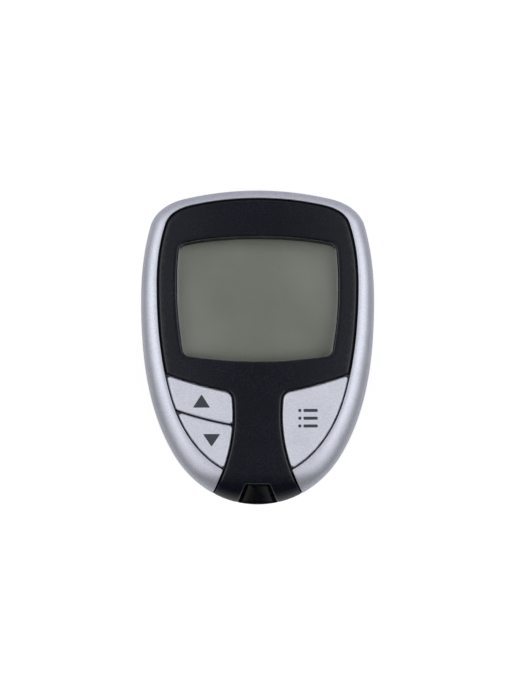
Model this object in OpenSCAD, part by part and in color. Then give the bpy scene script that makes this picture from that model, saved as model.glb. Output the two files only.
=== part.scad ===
// Palm-sized blood glucose meter, lying on its back.
// X runs to the right across the face, Y from the strip end to the top of the display,
// Z out of the face. The origin is the middle of the face on which the meter rests.

/* [Case] */
// Width across the widest point of the case
case_w = 57.1; // [56.9:0.1:58]
// Length from the top edge to the strip end
case_l = 77; // [76.8:0.1:78]
// Thickness from the resting face to the highest point of the display frame
case_t = 23; // [22.9:0.1:23.6]
// Distance of the widest point above the middle of the case
widest_y = 11.7; // [11:0.1:12.5]
// Height of the line where the front and back halves meet
part_z = 13; // [12.9:0.1:13.2]
// Thickness of the front half's side wall
wall = 1.5; // [1.4:0.1:1.6]
// How far the rounded edge of the back reaches in from the side
back_round = 5.5; // [5:0.1:6]

/* [Face] */
// Width of the silver ring at the top
ring_top_w = 1.9; // [1.8:0.05:2]
// Width of the silver ring beside the display
ring_side_w = 3.9; // [3.8:0.05:4.1]
// Gap between neighbouring pieces of the face
face_gap = 0.45; // [0.35:0.05:0.5]
// How far the end of the face dips over the strip port
nose_dip = 2.6; // [2:0.1:3.2]

/* [Keys] */
// Travel of each key
key_travel = 0.7; // [0.5:0.1:0.8]
// Height of the keys above the face around them
key_proud = 0.25; // [0.1:0.05:0.3]
// Width of the black column between the keys at its narrowest
column_w = 12.2; // [12:0.1:12.6]
// Distance between the upper edges of the two small keys
key_pitch = 7.8; // [7.6:0.1:8]
// Radius of each key's upper inner corner
key_corner_r = 2; // [1.6:0.1:2.4]

/* [Display] */
// Width of the visible display
view_w = 39; // [38.4:0.1:39.4]
// Top of the visible display
view_top_y = 26.5; // [26.1:0.05:26.6]
// Bottom of the visible display
view_bottom_y = -3.2; // [-3.4:0.05:-3]
// Width of the display's glass
lcd_w = 41.2; // [41:0.1:41.4]
// Thickness of the display's glass
lcd_t = 1.3; // [1.2:0.1:1.5]

/* [Strip port] */
// Width of the slot for the strip
slot_w = 6.4; // [6.2:0.1:6.6]
// Height of the slot for the strip
slot_h = 1; // [0.9:0.1:1.1]
// Place of the wall that the slot opens from
port_wall_y = -33.3; // [-33.5:0.1:-33.1]

/* [Batteries] */
// Diameter of a coin cell
cell_d = 20; // [20:0.1:20.2]
// Thickness of a coin cell
cell_t = 3.2; // [3:0.1:3.2]
// Distance between the middles of the two cells
cell_pitch = 21.2; // [21:0.1:21.4]

/* [Data jack] */
// Radius of the socket's bore
jack_bore_r = 1.3; // [1.25:0.05:1.4]
// Depth of the socket's bore
jack_bore_l = 11; // [10:0.5:11]

/* [Hidden] */
half_w = case_w / 2;
half_l = case_l / 2;
round_fn = 48;
span_steps = 9; // points along each stretch of an outline
far = 45; // past the edge of the case in any direction
eps = 0.05;

// Corners of the outlines' right halves, each [x, y, heading], from the top round to the bottom
case_knots = [
  [0, half_l, 0],
  [18, half_l - 2.1, -13],
  [half_w - 2.25, half_l - 8.9, -74.5],
  [half_w, widest_y, -90],
  [half_w - 8.15, 12.1 - half_l, -121],
  [0, -half_l, -180]
];
face_knots = [
  [0, half_l - ring_top_w, 0],
  [16, half_l - ring_top_w - 1.7, -12.5],
  [half_w - 6.05, half_l - 8.1, -71.5],
  [half_w - ring_side_w, widest_y + 4, -90],
  [half_w - 7.55, -13, -107],
  [0, 6.6 - half_l, -180]
];
view_knots = [
  [0, view_top_y, 0],
  [view_w / 2 - 2.1, view_top_y - 1.5, -11.5],
  [view_w / 2 - 0.5, view_top_y - 3.05, -82.5],
  [view_w / 2, 14.5, -90],
  [view_w / 2 - 1.4, view_bottom_y + 2.6, -100],
  [view_w / 2 - 3.1, view_bottom_y + 1.2, -172],
  [0, view_bottom_y, -180]
];
// The opening stands further out above the display than beside it
opening_side = 0.25;
opening_top = 0.8;
opening_knots = [for (k = view_knots)
  [k[0] > 0 ? k[0] + opening_side : 0,
   k[1] > 20 ? k[1] + opening_top : k[1] < 0 ? k[1] - opening_side : k[1],
   k[2]]];

// Heights, from the back to the face
door_recess = 0.2;
door_top_z = 1.6;
door_gap = 0.15;
liner_z = 2.95;
cell_z = door_top_z + 0.2;
bay_top_z = 6.2;
bay_roof_t = 1.2;
board_z = 12.4;
board_t = 1.2;
board_top_z = board_z + board_t;
lip_z = part_z + 0.9;
plate_z = 17.8; // underside of the face's hidden plate
plate_t = 1;
flange_z = 16.9; // underside of the keys' flanges
flange_t = 0.7;
lcd_z = 17;
lcd_top_z = lcd_z + lcd_t;
lens_z = 20.2;
lens_rim_t = 1.3;
lens_top_z = 22.1;
port_floor_z = 14.6;

// Places
middle_screw = [0, -8.5];
upper_screw = [17.5, 31.1];
stake_spots = [[25.6, 16], [20.6, -19]];
up_spot = [-13.2, -13];
down_spot = [-12.4, -21.4];
memory_spot = [12.6, -17.6];
jack_y = -8;
jack_z = 9.8;
jack_mouth_x = -26.3;
cell_y = 12.2;
bay_half_w = 21;
bay_low_y = 1.9;
bay_high_y = 22.5;
door_low_y = -0.6;
board_end_y = -31.3;
lcd_low_y = -5.1;
lcd_high_y = 28.6;

// ---- Outlines ----

function ahead(knot, run) = [knot[0] + run * cos(knot[2]), knot[1] + run * sin(knot[2])];
// Length of the curve's handles that makes an even turn a round arc
function handle(a, b) =
  norm([b[0] - a[0], b[1] - a[1]]) / 3 / pow(cos((b[2] - a[2]) / 4), 2);
function cubic(p, t) =
  pow(1 - t, 3) * p[0] + 3 * pow(1 - t, 2) * t * p[1]
  + 3 * (1 - t) * t * t * p[2] + pow(t, 3) * p[3];
function span(a, b) =
  let (run = handle(a, b),
       poles = [ahead(a, 0), ahead(a, run), ahead(b, -run), ahead(b, 0)])
  [for (i = [0 : span_steps - 1]) cubic(poles, i / span_steps)];
function right_half(knots) = [
  for (k = [0 : len(knots) - 2]) each span(knots[k], knots[k + 1]),
  ahead(knots[len(knots) - 1], 0)
];
function closed(half) =
  concat(half, [for (i = [len(half) - 2 : -1 : 1]) [-half[i][0], half[i][1]]]);
function loop_of(knots) = closed(right_half(knots));
// The same outline moved inwards by d at every point
function inset(loop, d) =
  let (n = len(loop))
  [for (i = [0 : n - 1])
    let (along = loop[(i + 1) % n] - loop[(i + n - 1) % n])
    loop[i] + d / norm(along) * [along[1], -along[0]]];
function between(a, b, share) = [for (i = [0 : len(a) - 1]) a[i] * (1 - share) + b[i] * share];

case_loop = loop_of(case_knots);
face_loop = loop_of(face_knots);
view_loop = loop_of(view_knots);
opening_loop = loop_of(opening_knots);

// ---- The face's surface ----

crown_x = 0.0012;
crown_y = 0.0006;
crown_mid_y = 8;
dip_start_y = -30;
// Height of the face: a shallow crown that dips over the strip port
function face_z(p) =
  let (past = max(0, dip_start_y - p[1]) / (half_l + dip_start_y))
  case_t - crown_x * p[0] * p[0] - crown_y * pow(p[1] - crown_mid_y, 2)
  - nose_dip * past * past;
function on_face(loop, lift) = [for (p = loop) [p[0], p[1], face_z(p) + lift]];
function at_height(loop, z) = [for (p = loop) [p[0], p[1], z]];
function scaled(loop, s) = [for (p = loop) p * s];

edge_steep = 0.78; // height of the rounded edge as a share of its width
edge_w = 4.7; // width from which the rounded edge gets no higher
edge_angles = [0, 12, 25, 38, 51, 64, 76];
// Distances from the outer loop straight across to the inner one
function across(outer, inner) = let (n = len(outer)) [for (i = [0 : n - 1])
  let (along = outer[(i + 1) % n] - outer[(i + n - 1) % n])
  (inner[i] - outer[i]) * [along[1], -along[0]] / norm(along)];
// Loops of the rounded edge, a quarter of an ellipse from the outer loop to the inner one
function rounded(outer, inner) =
  let (heights = [for (w = across(outer, inner)) edge_steep * min(w, edge_w)])
  [for (a = edge_angles)
    let (line = between(outer, inner, 1 - cos(a)))
    [for (i = [0 : len(line) - 1])
      [line[i][0], line[i][1], face_z(line[i]) - heights[i] * (1 - sin(a))]]];

// Closed solid through rings of points, each ring clockwise from above, the first one lowest
// on the outside. A tube joins its last ring to its first.
module stack(rings, tube = false) {
  n = len(rings[0]);
  m = len(rings);
  walls = [for (r = [0 : m - (tube ? 1 : 2)]) for (i = [0 : n - 1])
    let (low = r * n, high = (r + 1) % m * n, j = (i + 1) % n)
    each [[low + i, low + j, high + j], [low + i, high + j, high + i]]];
  caps = tube ? [] : [[for (i = [n - 1 : -1 : 0]) i], [for (i = [0 : n - 1]) (m - 1) * n + i]];
  polyhedron([for (r = rings) each r], concat(walls, caps), convexity = 8);
}

tip_scale = 0.02;
face_scales = [0.96, 0.92, 0.88, 0.83, 0.76, 0.6, 0.35];
shoulder_scales = [0.94, 0.88, 0.7, 0.4];
function shrinking(loop, scales, lift) = concat(
  [for (s = scales) on_face(scaled(loop, s), lift)],
  [at_height(scaled(loop, tip_scale), face_z([0, 0]) + lift)]);

// Everything under the crowned face, without the rounded edge
module under_face(lift, bottom) {
  stack(concat([at_height(case_loop, bottom), on_face(case_loop, lift)],
    shrinking(case_loop, face_scales, lift)));
}

// Everything under the face with the case's rounded edge
module under_edge() {
  shoulder = inset(case_loop, edge_w);
  stack(concat([at_height(case_loop, part_z)], rounded(case_loop, shoulder),
    [on_face(shoulder, 0)], shrinking(shoulder, shoulder_scales, 0)));
}

// ---- Flat shapes of the face ----

column_waist_y = -16.5;
column_flare = 0.0135;
// Half of the width between the keys' inner edges
function column_x(y) = column_w / 2 + column_flare * pow(y - column_waist_y, 2);
key_edge_y = -11.95; // the keys' upper edge, carried on to the middle
key_edge_slope = 0.106;
key_edge_bend = 0.0058;
// Height of the keys' upper edge
function key_top_y(x) = key_edge_y + key_edge_slope * x + key_edge_bend * x * x;

edge_step = 2; // between the points of a bent edge
key_corner_y = -12.8; // where the keys' inner edge ends in its rounded corner
corner_x = column_x(key_corner_y) + key_corner_r;
corner_y = key_top_y(corner_x) - key_corner_r - eps;
keys_end_y = -36; // below the ring's inner edge
rim_gap = 0.35; // between a key and the ring

// The key area at the right, with its edges moved out by grow
module key_area(grow = 0) {
  inner_edge = [for (y = [keys_end_y : edge_step : corner_y - 0.5]) [column_x(y) - grow, y]];
  corner = [for (a = [180 : -13 : 102])
    [corner_x, corner_y] + (key_corner_r + grow) * [cos(a), sin(a)]];
  upper_edge = [for (x = [corner_x + 0.6 : edge_step : half_w]) [x, key_top_y(x) + grow]];
  intersection() {
    polygon(inset(face_loop, rim_gap - grow));
    polygon(concat(inner_edge, corner, upper_edge, [[half_w, keys_end_y]]));
  }
}

// The part of the key area that lies below a line under the upper edge
module below_line(drop) {
  polygon(concat([for (x = [0 : edge_step : half_w]) [x, key_top_y(x) - drop]],
    [[half_w, -far], [0, -far]]));
}

module both_sides() {
  children();
  mirror([1, 0, 0]) children();
}

// The column and the nose below it
module column_flat(gap, top_y) {
  polygon(concat([for (y = [top_y : -edge_step : -far]) [column_x(y) - gap, y]],
    [for (y = [-far : edge_step : top_y]) [gap - column_x(y), y]]));
}

module strip_below(y) {
  translate([-far, y - 2 * far]) square(2 * far);
}

module strip_above(y) {
  translate([-far, y]) square(2 * far);
}

nose_y = dip_start_y - 0.5;
column_start_y = -22; // above the place where the column runs out between the ring's ends
ring_end_y = -27; // no cut through the ring above this

module fascia_flat() {
  intersection() {
    union() {
      difference() {
        polygon(inset(face_loop, face_gap));
        both_sides() key_area(face_gap);
      }
      column_flat(face_gap, column_start_y);
    }
    strip_above(nose_y);
  }
}

module slab(z, t) {
  translate([0, 0, z]) linear_extrude(t) children();
}

module mirrored_pair(spot) {
  for (side = [-1, 1]) translate([side * spot[0], spot[1], 0]) children();
}

module screw_spots() {
  translate(middle_screw) children();
  mirrored_pair(upper_screw) children();
}

// ---- Front half ----

screw_r = 1.1;
pilot_r = 1.05;
pilot_l = 4.5;
boss_foot_z = part_z + 0.8;
boss_r = 1.9;
ledge_drop = 2.2;
rim_share = 0.93; // where the ring's surface ends and its inner edge's chamfer starts
rim_sink = 0.08;
rim_chamfer = 0.28;
stake_r = 0.6;
stake_foot_z = plate_z - 0.5;
stake_l = 3;

module front_bezel() {
  color("silver") difference() {
    union() {
      stack(concat([at_height(case_loop, part_z)], rounded(case_loop, face_loop),
        [on_face(between(case_loop, face_loop, rim_share), -rim_sink),
         on_face(face_loop, -rim_chamfer),
         on_face(face_loop, -ledge_drop),
         on_face(inset(case_loop, wall), -ledge_drop),
         at_height(inset(case_loop, wall), part_z)]), tube = true);
      // pins that are melted over under the face's plate
      for (spot = stake_spots) mirrored_pair(spot)
        slab(stake_foot_z, stake_l) circle(stake_r, $fn = round_fn);
    }
    slab(part_z - 1, case_t) column_flat(0, ring_end_y);
  }
}

lip_gap = 0.1;
board_gap = 0.3; // between the board's end and the nose
port_wall_l = 5; // more than the length of the slot through the wall
recess_top_w = 6;
recess_flare = 0.41; // how much each side of the recess opens per mm towards the end

// The recess that leads the strip into its slot
module recess_flat() {
  run = half_l + port_wall_y + 2;
  polygon([
    [-recess_top_w / 2, port_wall_y], [recess_top_w / 2, port_wall_y],
    [recess_top_w / 2 + recess_flare * run, port_wall_y - run],
    [-recess_top_w / 2 - recess_flare * run, port_wall_y - run]]);
}

module nose() {
  difference() {
    intersection() {
      under_edge();
      slab(part_z - 1, case_t) intersection() {
        column_flat(face_gap, column_start_y);
        strip_below(nose_y);
      }
    }
    // room for the board, the connector and the back half's lip
    slab(part_z - 2, plate_z - part_z + 2) strip_above(board_end_y - board_gap);
    slab(part_z - 2, lip_z + lip_gap - part_z + 2) polygon(inset(case_loop, wall));
    slab(port_floor_z, case_t) recess_flat();
    slab(port_floor_z, slot_h) translate([-slot_w / 2, port_wall_y - 1])
      square([slot_w, port_wall_l]);
  }
}

pocket_rim = 1.2; // how far the window's flange reaches past its opening
pocket_gap = 0.05; // above the flange
lens_gap = 0.1;
glass_gap = 0.1; // above the display
frame_gap = 0.15; // round the display's frame
plate_gap = 0.15; // round the hidden plate
key_hole_grow = 0.25;
stake_gap = 0.1;

module fascia() {
  color("#23262c") difference() {
    union() {
      intersection() {
        under_face(0, plate_z - 1);
        slab(plate_z, case_t) fascia_flat();
      }
      slab(plate_z, plate_t) difference() {
        intersection() {
          polygon(inset(case_loop, wall + plate_gap));
          strip_above(nose_y);
        }
        both_sides() key_area(key_hole_grow);
        for (spot = stake_spots) mirrored_pair(spot)
          circle(stake_r + stake_gap, $fn = round_fn);
      }
      screw_spots() slab(boss_foot_z, plate_z + 0.5 - boss_foot_z)
        circle(boss_r, $fn = round_fn);
      nose();
    }
    screw_spots() slab(boss_foot_z - 1, pilot_l + 1) circle(pilot_r, $fn = round_fn);
    lcd_plate(plate_z - 1, lcd_top_z + glass_gap - plate_z + 1, frame_rim + frame_gap);
    slab(plate_z - 1, case_t) polygon(opening_loop);
    slab(plate_z - 1, lens_z + lens_rim_t + pocket_gap - plate_z + 1)
      polygon(inset(opening_loop, -pocket_rim));
  }
}

module window_lens() {
  color("#aab3ad", 0.5) {
    slab(lens_z, lens_rim_t) polygon(inset(opening_loop, lens_gap - pocket_rim));
    slab(lens_z + lens_rim_t, lens_top_z - lens_z - lens_rim_t)
      polygon(inset(opening_loop, lens_gap));
  }
}

gasket_gap = 0.2; // between the foam and the pocket's wall

module display_gasket() {
  color("#1b1d20") slab(lcd_top_z, lens_z - lcd_top_z) difference() {
    polygon(inset(opening_loop, gasket_gap - pocket_rim));
    polygon(view_loop);
  }
}

// ---- Display ----

module lcd_plate(z, t, rim = 0) {
  slab(z, t) translate([-lcd_w / 2 - rim, lcd_low_y - rim])
    square([lcd_w + 2 * rim, lcd_high_y - lcd_low_y + 2 * rim]);
}

module lcd_panel() {
  color("#70736a") lcd_plate(lcd_z, lcd_t);
}

reflector_t = 0.2;
reflector_z = lcd_z - reflector_t;
reflector_inset = 0.6;

module lcd_reflector() {
  color("#b8bcb4") lcd_plate(reflector_z, reflector_t, -reflector_inset);
}

frame_rim = 0.35;
frame_lip = 0.9; // how far the frame reaches up beside the display
frame_seat = 4.2; // width of the frame under the display's edges
frame_hollow_h = 1.2; // room under the frame for what stands on the board
frame_fit = 0.04;
zebra_fit = 0.1;
zebra_w = 2;
zebra_l = 34;
zebra_edge = 2.2; // from the glass's edge to the middle of a strip

module zebra_spots() {
  for (y = [lcd_low_y + zebra_edge, lcd_high_y - zebra_edge])
    translate([-zebra_l / 2, y - zebra_w / 2]) children();
}

module lcd_frame() {
  color("#d9dad6") difference() {
    union() {
      lcd_plate(board_top_z, reflector_z - board_top_z, frame_rim);
      lcd_plate(reflector_z, frame_lip, frame_rim);
    }
    lcd_plate(reflector_z, lcd_t + 1, frame_fit);
    lcd_plate(board_top_z - 1, frame_hollow_h + 1, -frame_seat);
    slab(board_top_z - 1, lcd_z - board_top_z + 2) zebra_spots()
      offset(delta = zebra_fit) square([zebra_l, zebra_w]);
  }
}

module zebra_strips() {
  color("#3a3c40") slab(board_top_z, reflector_z - board_top_z)
    zebra_spots() square([zebra_l, zebra_w]);
}

// ---- Circuit ----

board_inset = 3;
boss_clearance = 0.3; // round the back half's screw bosses
post_spots = [[16, 19], [16, 4], [17.5, -17]];

module main_board() {
  color("#1f6b45") slab(board_z, board_t) difference() {
    intersection() {
      polygon(inset(case_loop, board_inset));
      strip_above(board_end_y);
    }
    screw_spots() circle(rear_boss_r + boss_clearance, $fn = round_fn);
  }
}

// A block of this size, centred under a spot of the board
module under_board(spot, size) {
  translate([spot[0] - size[0] / 2, spot[1] - size[1] / 2, board_z - size[2]]) cube(size);
}

chip_spot = [0, 10];
chip_size = [10, 10, 1.5];
lead_count = 8;
lead_pitch = 1.1;
lead_size = [0.45, 12.4, 0.5]; // across the chip, so that one bar makes two leads

module microcontroller() {
  color("#202225") translate(chip_spot) union() {
    under_board([0, 0], chip_size);
    for (turn = [0, 90]) rotate(turn) for (i = [0 : lead_count - 1])
      under_board([(i - (lead_count - 1) / 2) * lead_pitch, 0], lead_size);
  }
}

crystal_spot = [7.5, -2.5];
crystal_r = 1.6;
crystal_half_l = 2.3; // to the middle of each round end
crystal_h = 2.2;

module crystal() {
  color("#c9ccd1") slab(board_z - crystal_h, crystal_h) translate(crystal_spot) hull() {
    for (x = [-crystal_half_l, crystal_half_l]) translate([x, 0]) circle(crystal_r, $fn = 24);
  }
}

part_columns = 5;
part_rows = 2;
capacitor_spot = [-13, -14];
capacitor_pitch = [2.6, -5];
capacitor_size = [1.4, 2.4, 0.9];
resistor_spot = [-10, 28.5];
resistor_pitch = [5, 3];
resistor_size = [2, 1.2, 0.7];

module small_components() {
  color("#8a6f4a") for (col = [0 : part_columns - 1]) for (row = [0 : part_rows - 1]) {
    under_board(capacitor_spot + [col * capacitor_pitch[0], row * capacitor_pitch[1]],
      capacitor_size);
    under_board(resistor_spot + [col * resistor_pitch[0], row * resistor_pitch[1]],
      resistor_size);
  }
}

buzzer_spot = [9.5, -13];
buzzer_r = 5;
buzzer_h = 3.6;
sound_hole_r = 0.9;
sound_hole_l = 1.2;

module buzzer() {
  color("#17181a") translate([buzzer_spot[0], buzzer_spot[1], board_z - buzzer_h])
    difference() {
      cylinder(r = buzzer_r, h = buzzer_h, $fn = round_fn);
      translate([0, 0, -1]) cylinder(r = sound_hole_r, h = sound_hole_l + 1, $fn = round_fn);
    }
}

jack_body_x = -23.8;
jack_body_l = 10.8;
jack_body_w = 5.2;
jack_collar_r = 2.2;
jack_collar_gap = 0.2; // round the collar in the back half's wall

module jack_axis() {
  translate([jack_mouth_x, jack_y, jack_z]) rotate([0, 90, 0]) children();
}

module data_jack() {
  color("#141517") difference() {
    union() {
      translate([jack_body_x, jack_y - jack_body_w / 2, jack_z - jack_body_w / 2])
        cube([jack_body_l, jack_body_w, board_z - jack_z + jack_body_w / 2]);
      jack_axis()
        cylinder(r = jack_collar_r, h = jack_body_x - jack_mouth_x + 1, $fn = round_fn);
    }
    jack_axis() translate([0, 0, -1])
      cylinder(r = jack_bore_r, h = jack_bore_l + 1, $fn = round_fn);
  }
}

connector_low_y = board_end_y;
connector_high_y = -20;
connector_w = 9.4;
connector_top_z = 16.8;
strip_stop_l = 9; // how far a strip goes into the connector
chamber_start = 1.5; // from the connector's mouth to its room for the springs
chamber_w = 5.4;
chamber_l = 12;
chamber_h = 1.5;
chamber_step = 0.2; // the springs' floor lies this much above the strip's

module strip_connector() {
  color("#e6e4dc") difference() {
    translate([-connector_w / 2, connector_low_y, board_top_z])
      cube([connector_w, connector_high_y - connector_low_y, connector_top_z - board_top_z]);
    translate([-slot_w / 2, connector_low_y - 1, port_floor_z])
      cube([slot_w, strip_stop_l + 1, slot_h]);
    translate([-chamber_w / 2, connector_low_y + chamber_start, port_floor_z + chamber_step])
      cube([chamber_w, chamber_l, chamber_h]);
  }
}

contact_pitch = 1.3;
contact_w = 0.7;
contact_t = 0.2;

// One spring's side view: a solder tail, a rise, the beam and the dimple that meets the strip
contact_line = [[-19.4, board_top_z], [-19.4, 15.7], [-26, 15.7], [-28, 15.05], [-29, 15.5]];

module strip_contacts() {
  color("#c9a23a") for (i = [-1.5 : 1.5])
    translate([i * contact_pitch - contact_w / 2, 0, 0]) rotate([90, 0, 90])
      linear_extrude(contact_w) polygon(concat(contact_line,
        [for (k = [len(contact_line) - 1 : -1 : 0])
          contact_line[k] + (k < 2 ? [contact_t, k == 1 ? contact_t : 0] : [0, contact_t])]));
}

// ---- Keys ----

dome_r = 3.3;
dome_hole_r = 3.7;
dome_pad_r = 2;
dome_hollow_r = 1.4;
dome_pad_t = 0.9;
dome_skirt_t = 0.5;
dome_rim_t = 0.3;
dome_foot_gap = 0.15; // what is left under a dome when its key is down
membrane_t = 0.8;
membrane_half_w = 20;
membrane_low_y = -25.6;
membrane_high_y = -6.2;
membrane_inset = 0.8; // from the board's edge
membrane_notch_l = 12.2; // room round the strip's connector
membrane_notch_gap = 0.4;
plunger_r = 2.2;
dome_top_z = 16.2;

module keypad_membrane() {
  color("#9fa3a8") slab(board_top_z, membrane_t) difference() {
    intersection() {
      polygon(inset(case_loop, board_inset + membrane_inset));
      translate([-membrane_half_w, membrane_low_y])
        square([2 * membrane_half_w, membrane_high_y - membrane_low_y]);
    }
    translate(middle_screw) circle(rear_boss_r + boss_clearance, $fn = round_fn);
    translate([-connector_w / 2 - membrane_notch_gap, ring_end_y])
      square([connector_w + 2 * membrane_notch_gap, membrane_notch_l]);
    for (spot = [up_spot, down_spot, memory_spot])
      translate(spot) circle(dome_hole_r, $fn = round_fn);
  }
}

// A collapsing dome at rest: a pad on a sloping skirt, hollow from below
module dome(spot) {
  foot_z = board_top_z + key_travel + dome_foot_gap;
  color("#b4b7ba") translate([spot[0], spot[1], 0]) rotate_extrude($fn = round_fn) polygon([
    [0, dome_top_z - dome_pad_t], [dome_hollow_r, dome_top_z - dome_pad_t],
    [dome_r - dome_skirt_t, foot_z], [dome_r, foot_z], [dome_r, foot_z + dome_rim_t],
    [dome_pad_r, dome_top_z], [0, dome_top_z]]);
}

module dome_up() {
  dome(up_spot);
}

module dome_down() {
  dome(down_spot);
}

module dome_memory() {
  dome(memory_spot);
}

soft_corner = 0.5;
flange_grow = 0.9;

// One key: its crowned cap, a flange under the face's plate and a plunger on the dome
module key(spot) {
  color("#cfd1da") {
    intersection() {
      under_face(key_proud, flange_z - 1);
      slab(flange_z, case_t) offset(r = soft_corner) offset(delta = -soft_corner)
        children(0);
    }
    slab(flange_z, flange_t) children(1);
    translate([spot[0], spot[1], dome_top_z])
      cylinder(r = plunger_r, h = flange_z - dome_top_z + 0.1, $fn = round_fn);
  }
}

split_gap = 0.5;

module upper_left(grow) {
  mirror([1, 0, 0]) difference() {
    key_area(grow);
    below_line(key_pitch - split_gap / 2);
  }
}

module lower_left(grow) {
  mirror([1, 0, 0]) intersection() {
    key_area(grow);
    below_line(key_pitch + split_gap / 2);
  }
}

module key_up() {
  key(up_spot) {
    upper_left(0);
    upper_left(flange_grow);
  }
}

module key_down() {
  key(down_spot) {
    lower_left(0);
    lower_left(flange_grow);
  }
}

module key_memory() {
  key(memory_spot) {
    key_area();
    key_area(flange_grow);
  }
}

// ---- Back half ----

back_steps = 8;
// Rings of the rounded back, from the resting face up to the joint line
function back_rings(top_z) = [for (i = [0 : back_steps])
  let (a = 90 * i / back_steps)
  at_height(inset(case_loop, back_round * (1 - sin(a))), top_z * (1 - cos(a)))];

rear_wall = 2.2;
rear_top_z = part_z - 0.1;
floor_t = 1.6;
thin_floor_inset = 6; // from the wall to the thinner floor
// The inner wall leans in towards the floor: [height, distance in from the wall]
inner_slope = [[8, 0], [5, 1], [liner_z, 3]];

// The back half as a cup with a lip that reaches up inside the front half
module back_body() {
  difference() {
    stack(concat(back_rings(rear_top_z), [
      at_height(inset(case_loop, wall + lip_gap), rear_top_z),
      at_height(inset(case_loop, wall + lip_gap), lip_z),
      at_height(inset(case_loop, rear_wall), lip_z),
      for (step = inner_slope) at_height(inset(case_loop, rear_wall + step[1]), step[0])]));
    // the floor is thinner where the battery cover doesn't slide under it
    slab(floor_t, liner_z) intersection() {
      polygon(inset(case_loop, rear_wall + thin_floor_inset));
      strip_below(door_low_y - 2);
    }
  }
}

door_half_w = 21.5;
door_undercut = 0.7;

// The sliding cover's dovetail section, run along Y to the end of the case
module dovetail(gap, low_z, high_z) {
  low_w = door_half_w - door_undercut + gap;
  high_w = door_half_w + gap;
  translate([0, door_low_y - gap, 0]) rotate([90, 0, 180]) linear_extrude(far)
    polygon([[-low_w, low_z], [low_w, low_z], [high_w, high_z], [-high_w, high_z]]);
}

label_w = 24;
label_low_y = -28;
label_high_y = -13.5;
label_r = 2;
label_depth = 0.3;
label_t = 0.18;
label_gap = 0.1;

// The label's outline, larger by gap all round
module label_flat(gap) {
  offset(r = label_r + gap) translate([-label_w / 2 + label_r, label_low_y + label_r])
    square([label_w - 2 * label_r, label_high_y - label_low_y - 2 * label_r]);
}

head_r = 1.9;
head_h = 1.4;
head_z = 2.3;
head_gap = 0.2;
shank_gap = 0.15;
rear_boss_r = 2.7;
boss_gap = 0.3; // between the two halves' screw bosses
post_r = 1.5;
bay_wall = 1.2;

module bay_flat(rim) {
  translate([-bay_half_w - rim, bay_low_y - rim])
    square([2 * bay_half_w + 2 * rim, bay_high_y - bay_low_y + 2 * rim]);
}

module rear_shell() {
  root_z = floor_t - 0.4; // inside the floor, where posts and bosses start
  color("#2a2d33") difference() {
    union() {
      back_body();
      slab(liner_z - 0.3, bay_top_z + bay_roof_t - liner_z + 0.3) bay_flat(bay_wall);
      for (spot = post_spots) mirrored_pair(spot)
        slab(root_z, board_z - root_z) circle(post_r, $fn = round_fn);
      screw_spots() slab(root_z, boss_foot_z - boss_gap - root_z)
        circle(rear_boss_r, $fn = round_fn);
    }
    dovetail(door_gap, -1, door_top_z + door_gap);
    slab(-1, bay_top_z + 1) bay_flat(0);
    slab(-1, label_depth + 1) label_flat(label_gap);
    screw_spots() slab(-1, part_z + 3) circle(screw_r + shank_gap, $fn = round_fn);
    screw_spots() slab(-1, head_z + head_h + 1) circle(head_r + head_gap, $fn = round_fn);
    jack_axis() translate([0, 0, -3])
      cylinder(r = jack_collar_r + jack_collar_gap, h = 6, $fn = round_fn);
  }
}

grip_count = 5;
grip_pitch = 2;
grip_w = 14;
grip_l = 0.9;
grip_depth = 0.45;
grip_low_y = 22;

module battery_door() {
  color("#2a2d33") difference() {
    intersection() {
      stack(back_rings(rear_top_z));
      dovetail(0, door_recess, door_top_z);
    }
    for (i = [0 : grip_count - 1])
      translate([-grip_w / 2, grip_low_y + i * grip_pitch, -1])
        cube([grip_w, grip_l, 1 + door_recess + grip_depth]);
  }
}

lid_h = 0.6; // of the cell's smaller lid
lid_foot_inset = 1.4;
lid_top_inset = 1.8;
can_bevel = 0.4;

// The can is the wide, plus side, and lies against the cover
module coin_cell(side) {
  can_r = cell_d / 2;
  color("#cfd2d6") translate([side * cell_pitch / 2, cell_y, cell_z]) rotate_extrude($fn = 96)
    polygon([[0, 0], [can_r - can_bevel, 0], [can_r, can_bevel], [can_r, cell_t - lid_h],
      [can_r - lid_foot_inset, cell_t - lid_h], [can_r - lid_top_inset, cell_t], [0, cell_t]]);
}

module coin_cell_left() {
  coin_cell(-1);
}

module coin_cell_right() {
  coin_cell(1);
}

spring_t = 0.25;
spring_w = 5;
plate_half_l = 6;
finger_root = [-4, -2]; // where the finger leaves the plate
finger_tip = [3.4, 4];
clip_w = 6;
clip_rise = 0.2;
clip_room = 0.3; // above a clip

module battery_springs() {
  low_z = cell_z + cell_t + eps;
  high_z = bay_top_z - eps;
  under_z = high_z - spring_t;
  // a flat plate under the bay's roof with a finger bent down to the cell
  line = [[-plate_half_l, high_z], [plate_half_l, high_z], [plate_half_l, under_z],
    [finger_root[1], under_z], [finger_tip[1], low_z], [finger_tip[0], low_z],
    [finger_root[0], under_z], [-plate_half_l, under_z]];
  color("#c8cacd") for (side = [-1, 1])
    translate([(side * cell_pitch - spring_w) / 2, cell_y, 0]) rotate([90, 0, 90])
      linear_extrude(spring_w) polygon(line);
}

module battery_clips() {
  color("#c8cacd") for (side = [-1, 1])
    translate([side * (bay_half_w - eps - spring_t / 2) - spring_t / 2, cell_y - clip_w / 2,
      cell_z + clip_rise])
      cube([spring_t, clip_w, bay_top_z - cell_z - clip_rise - clip_room]);
}

cross_w = 0.5;
cross_l = 2.2;
cross_depth = 0.7;
pilot_room = 0.6; // left in the boss past the screw's end

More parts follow.
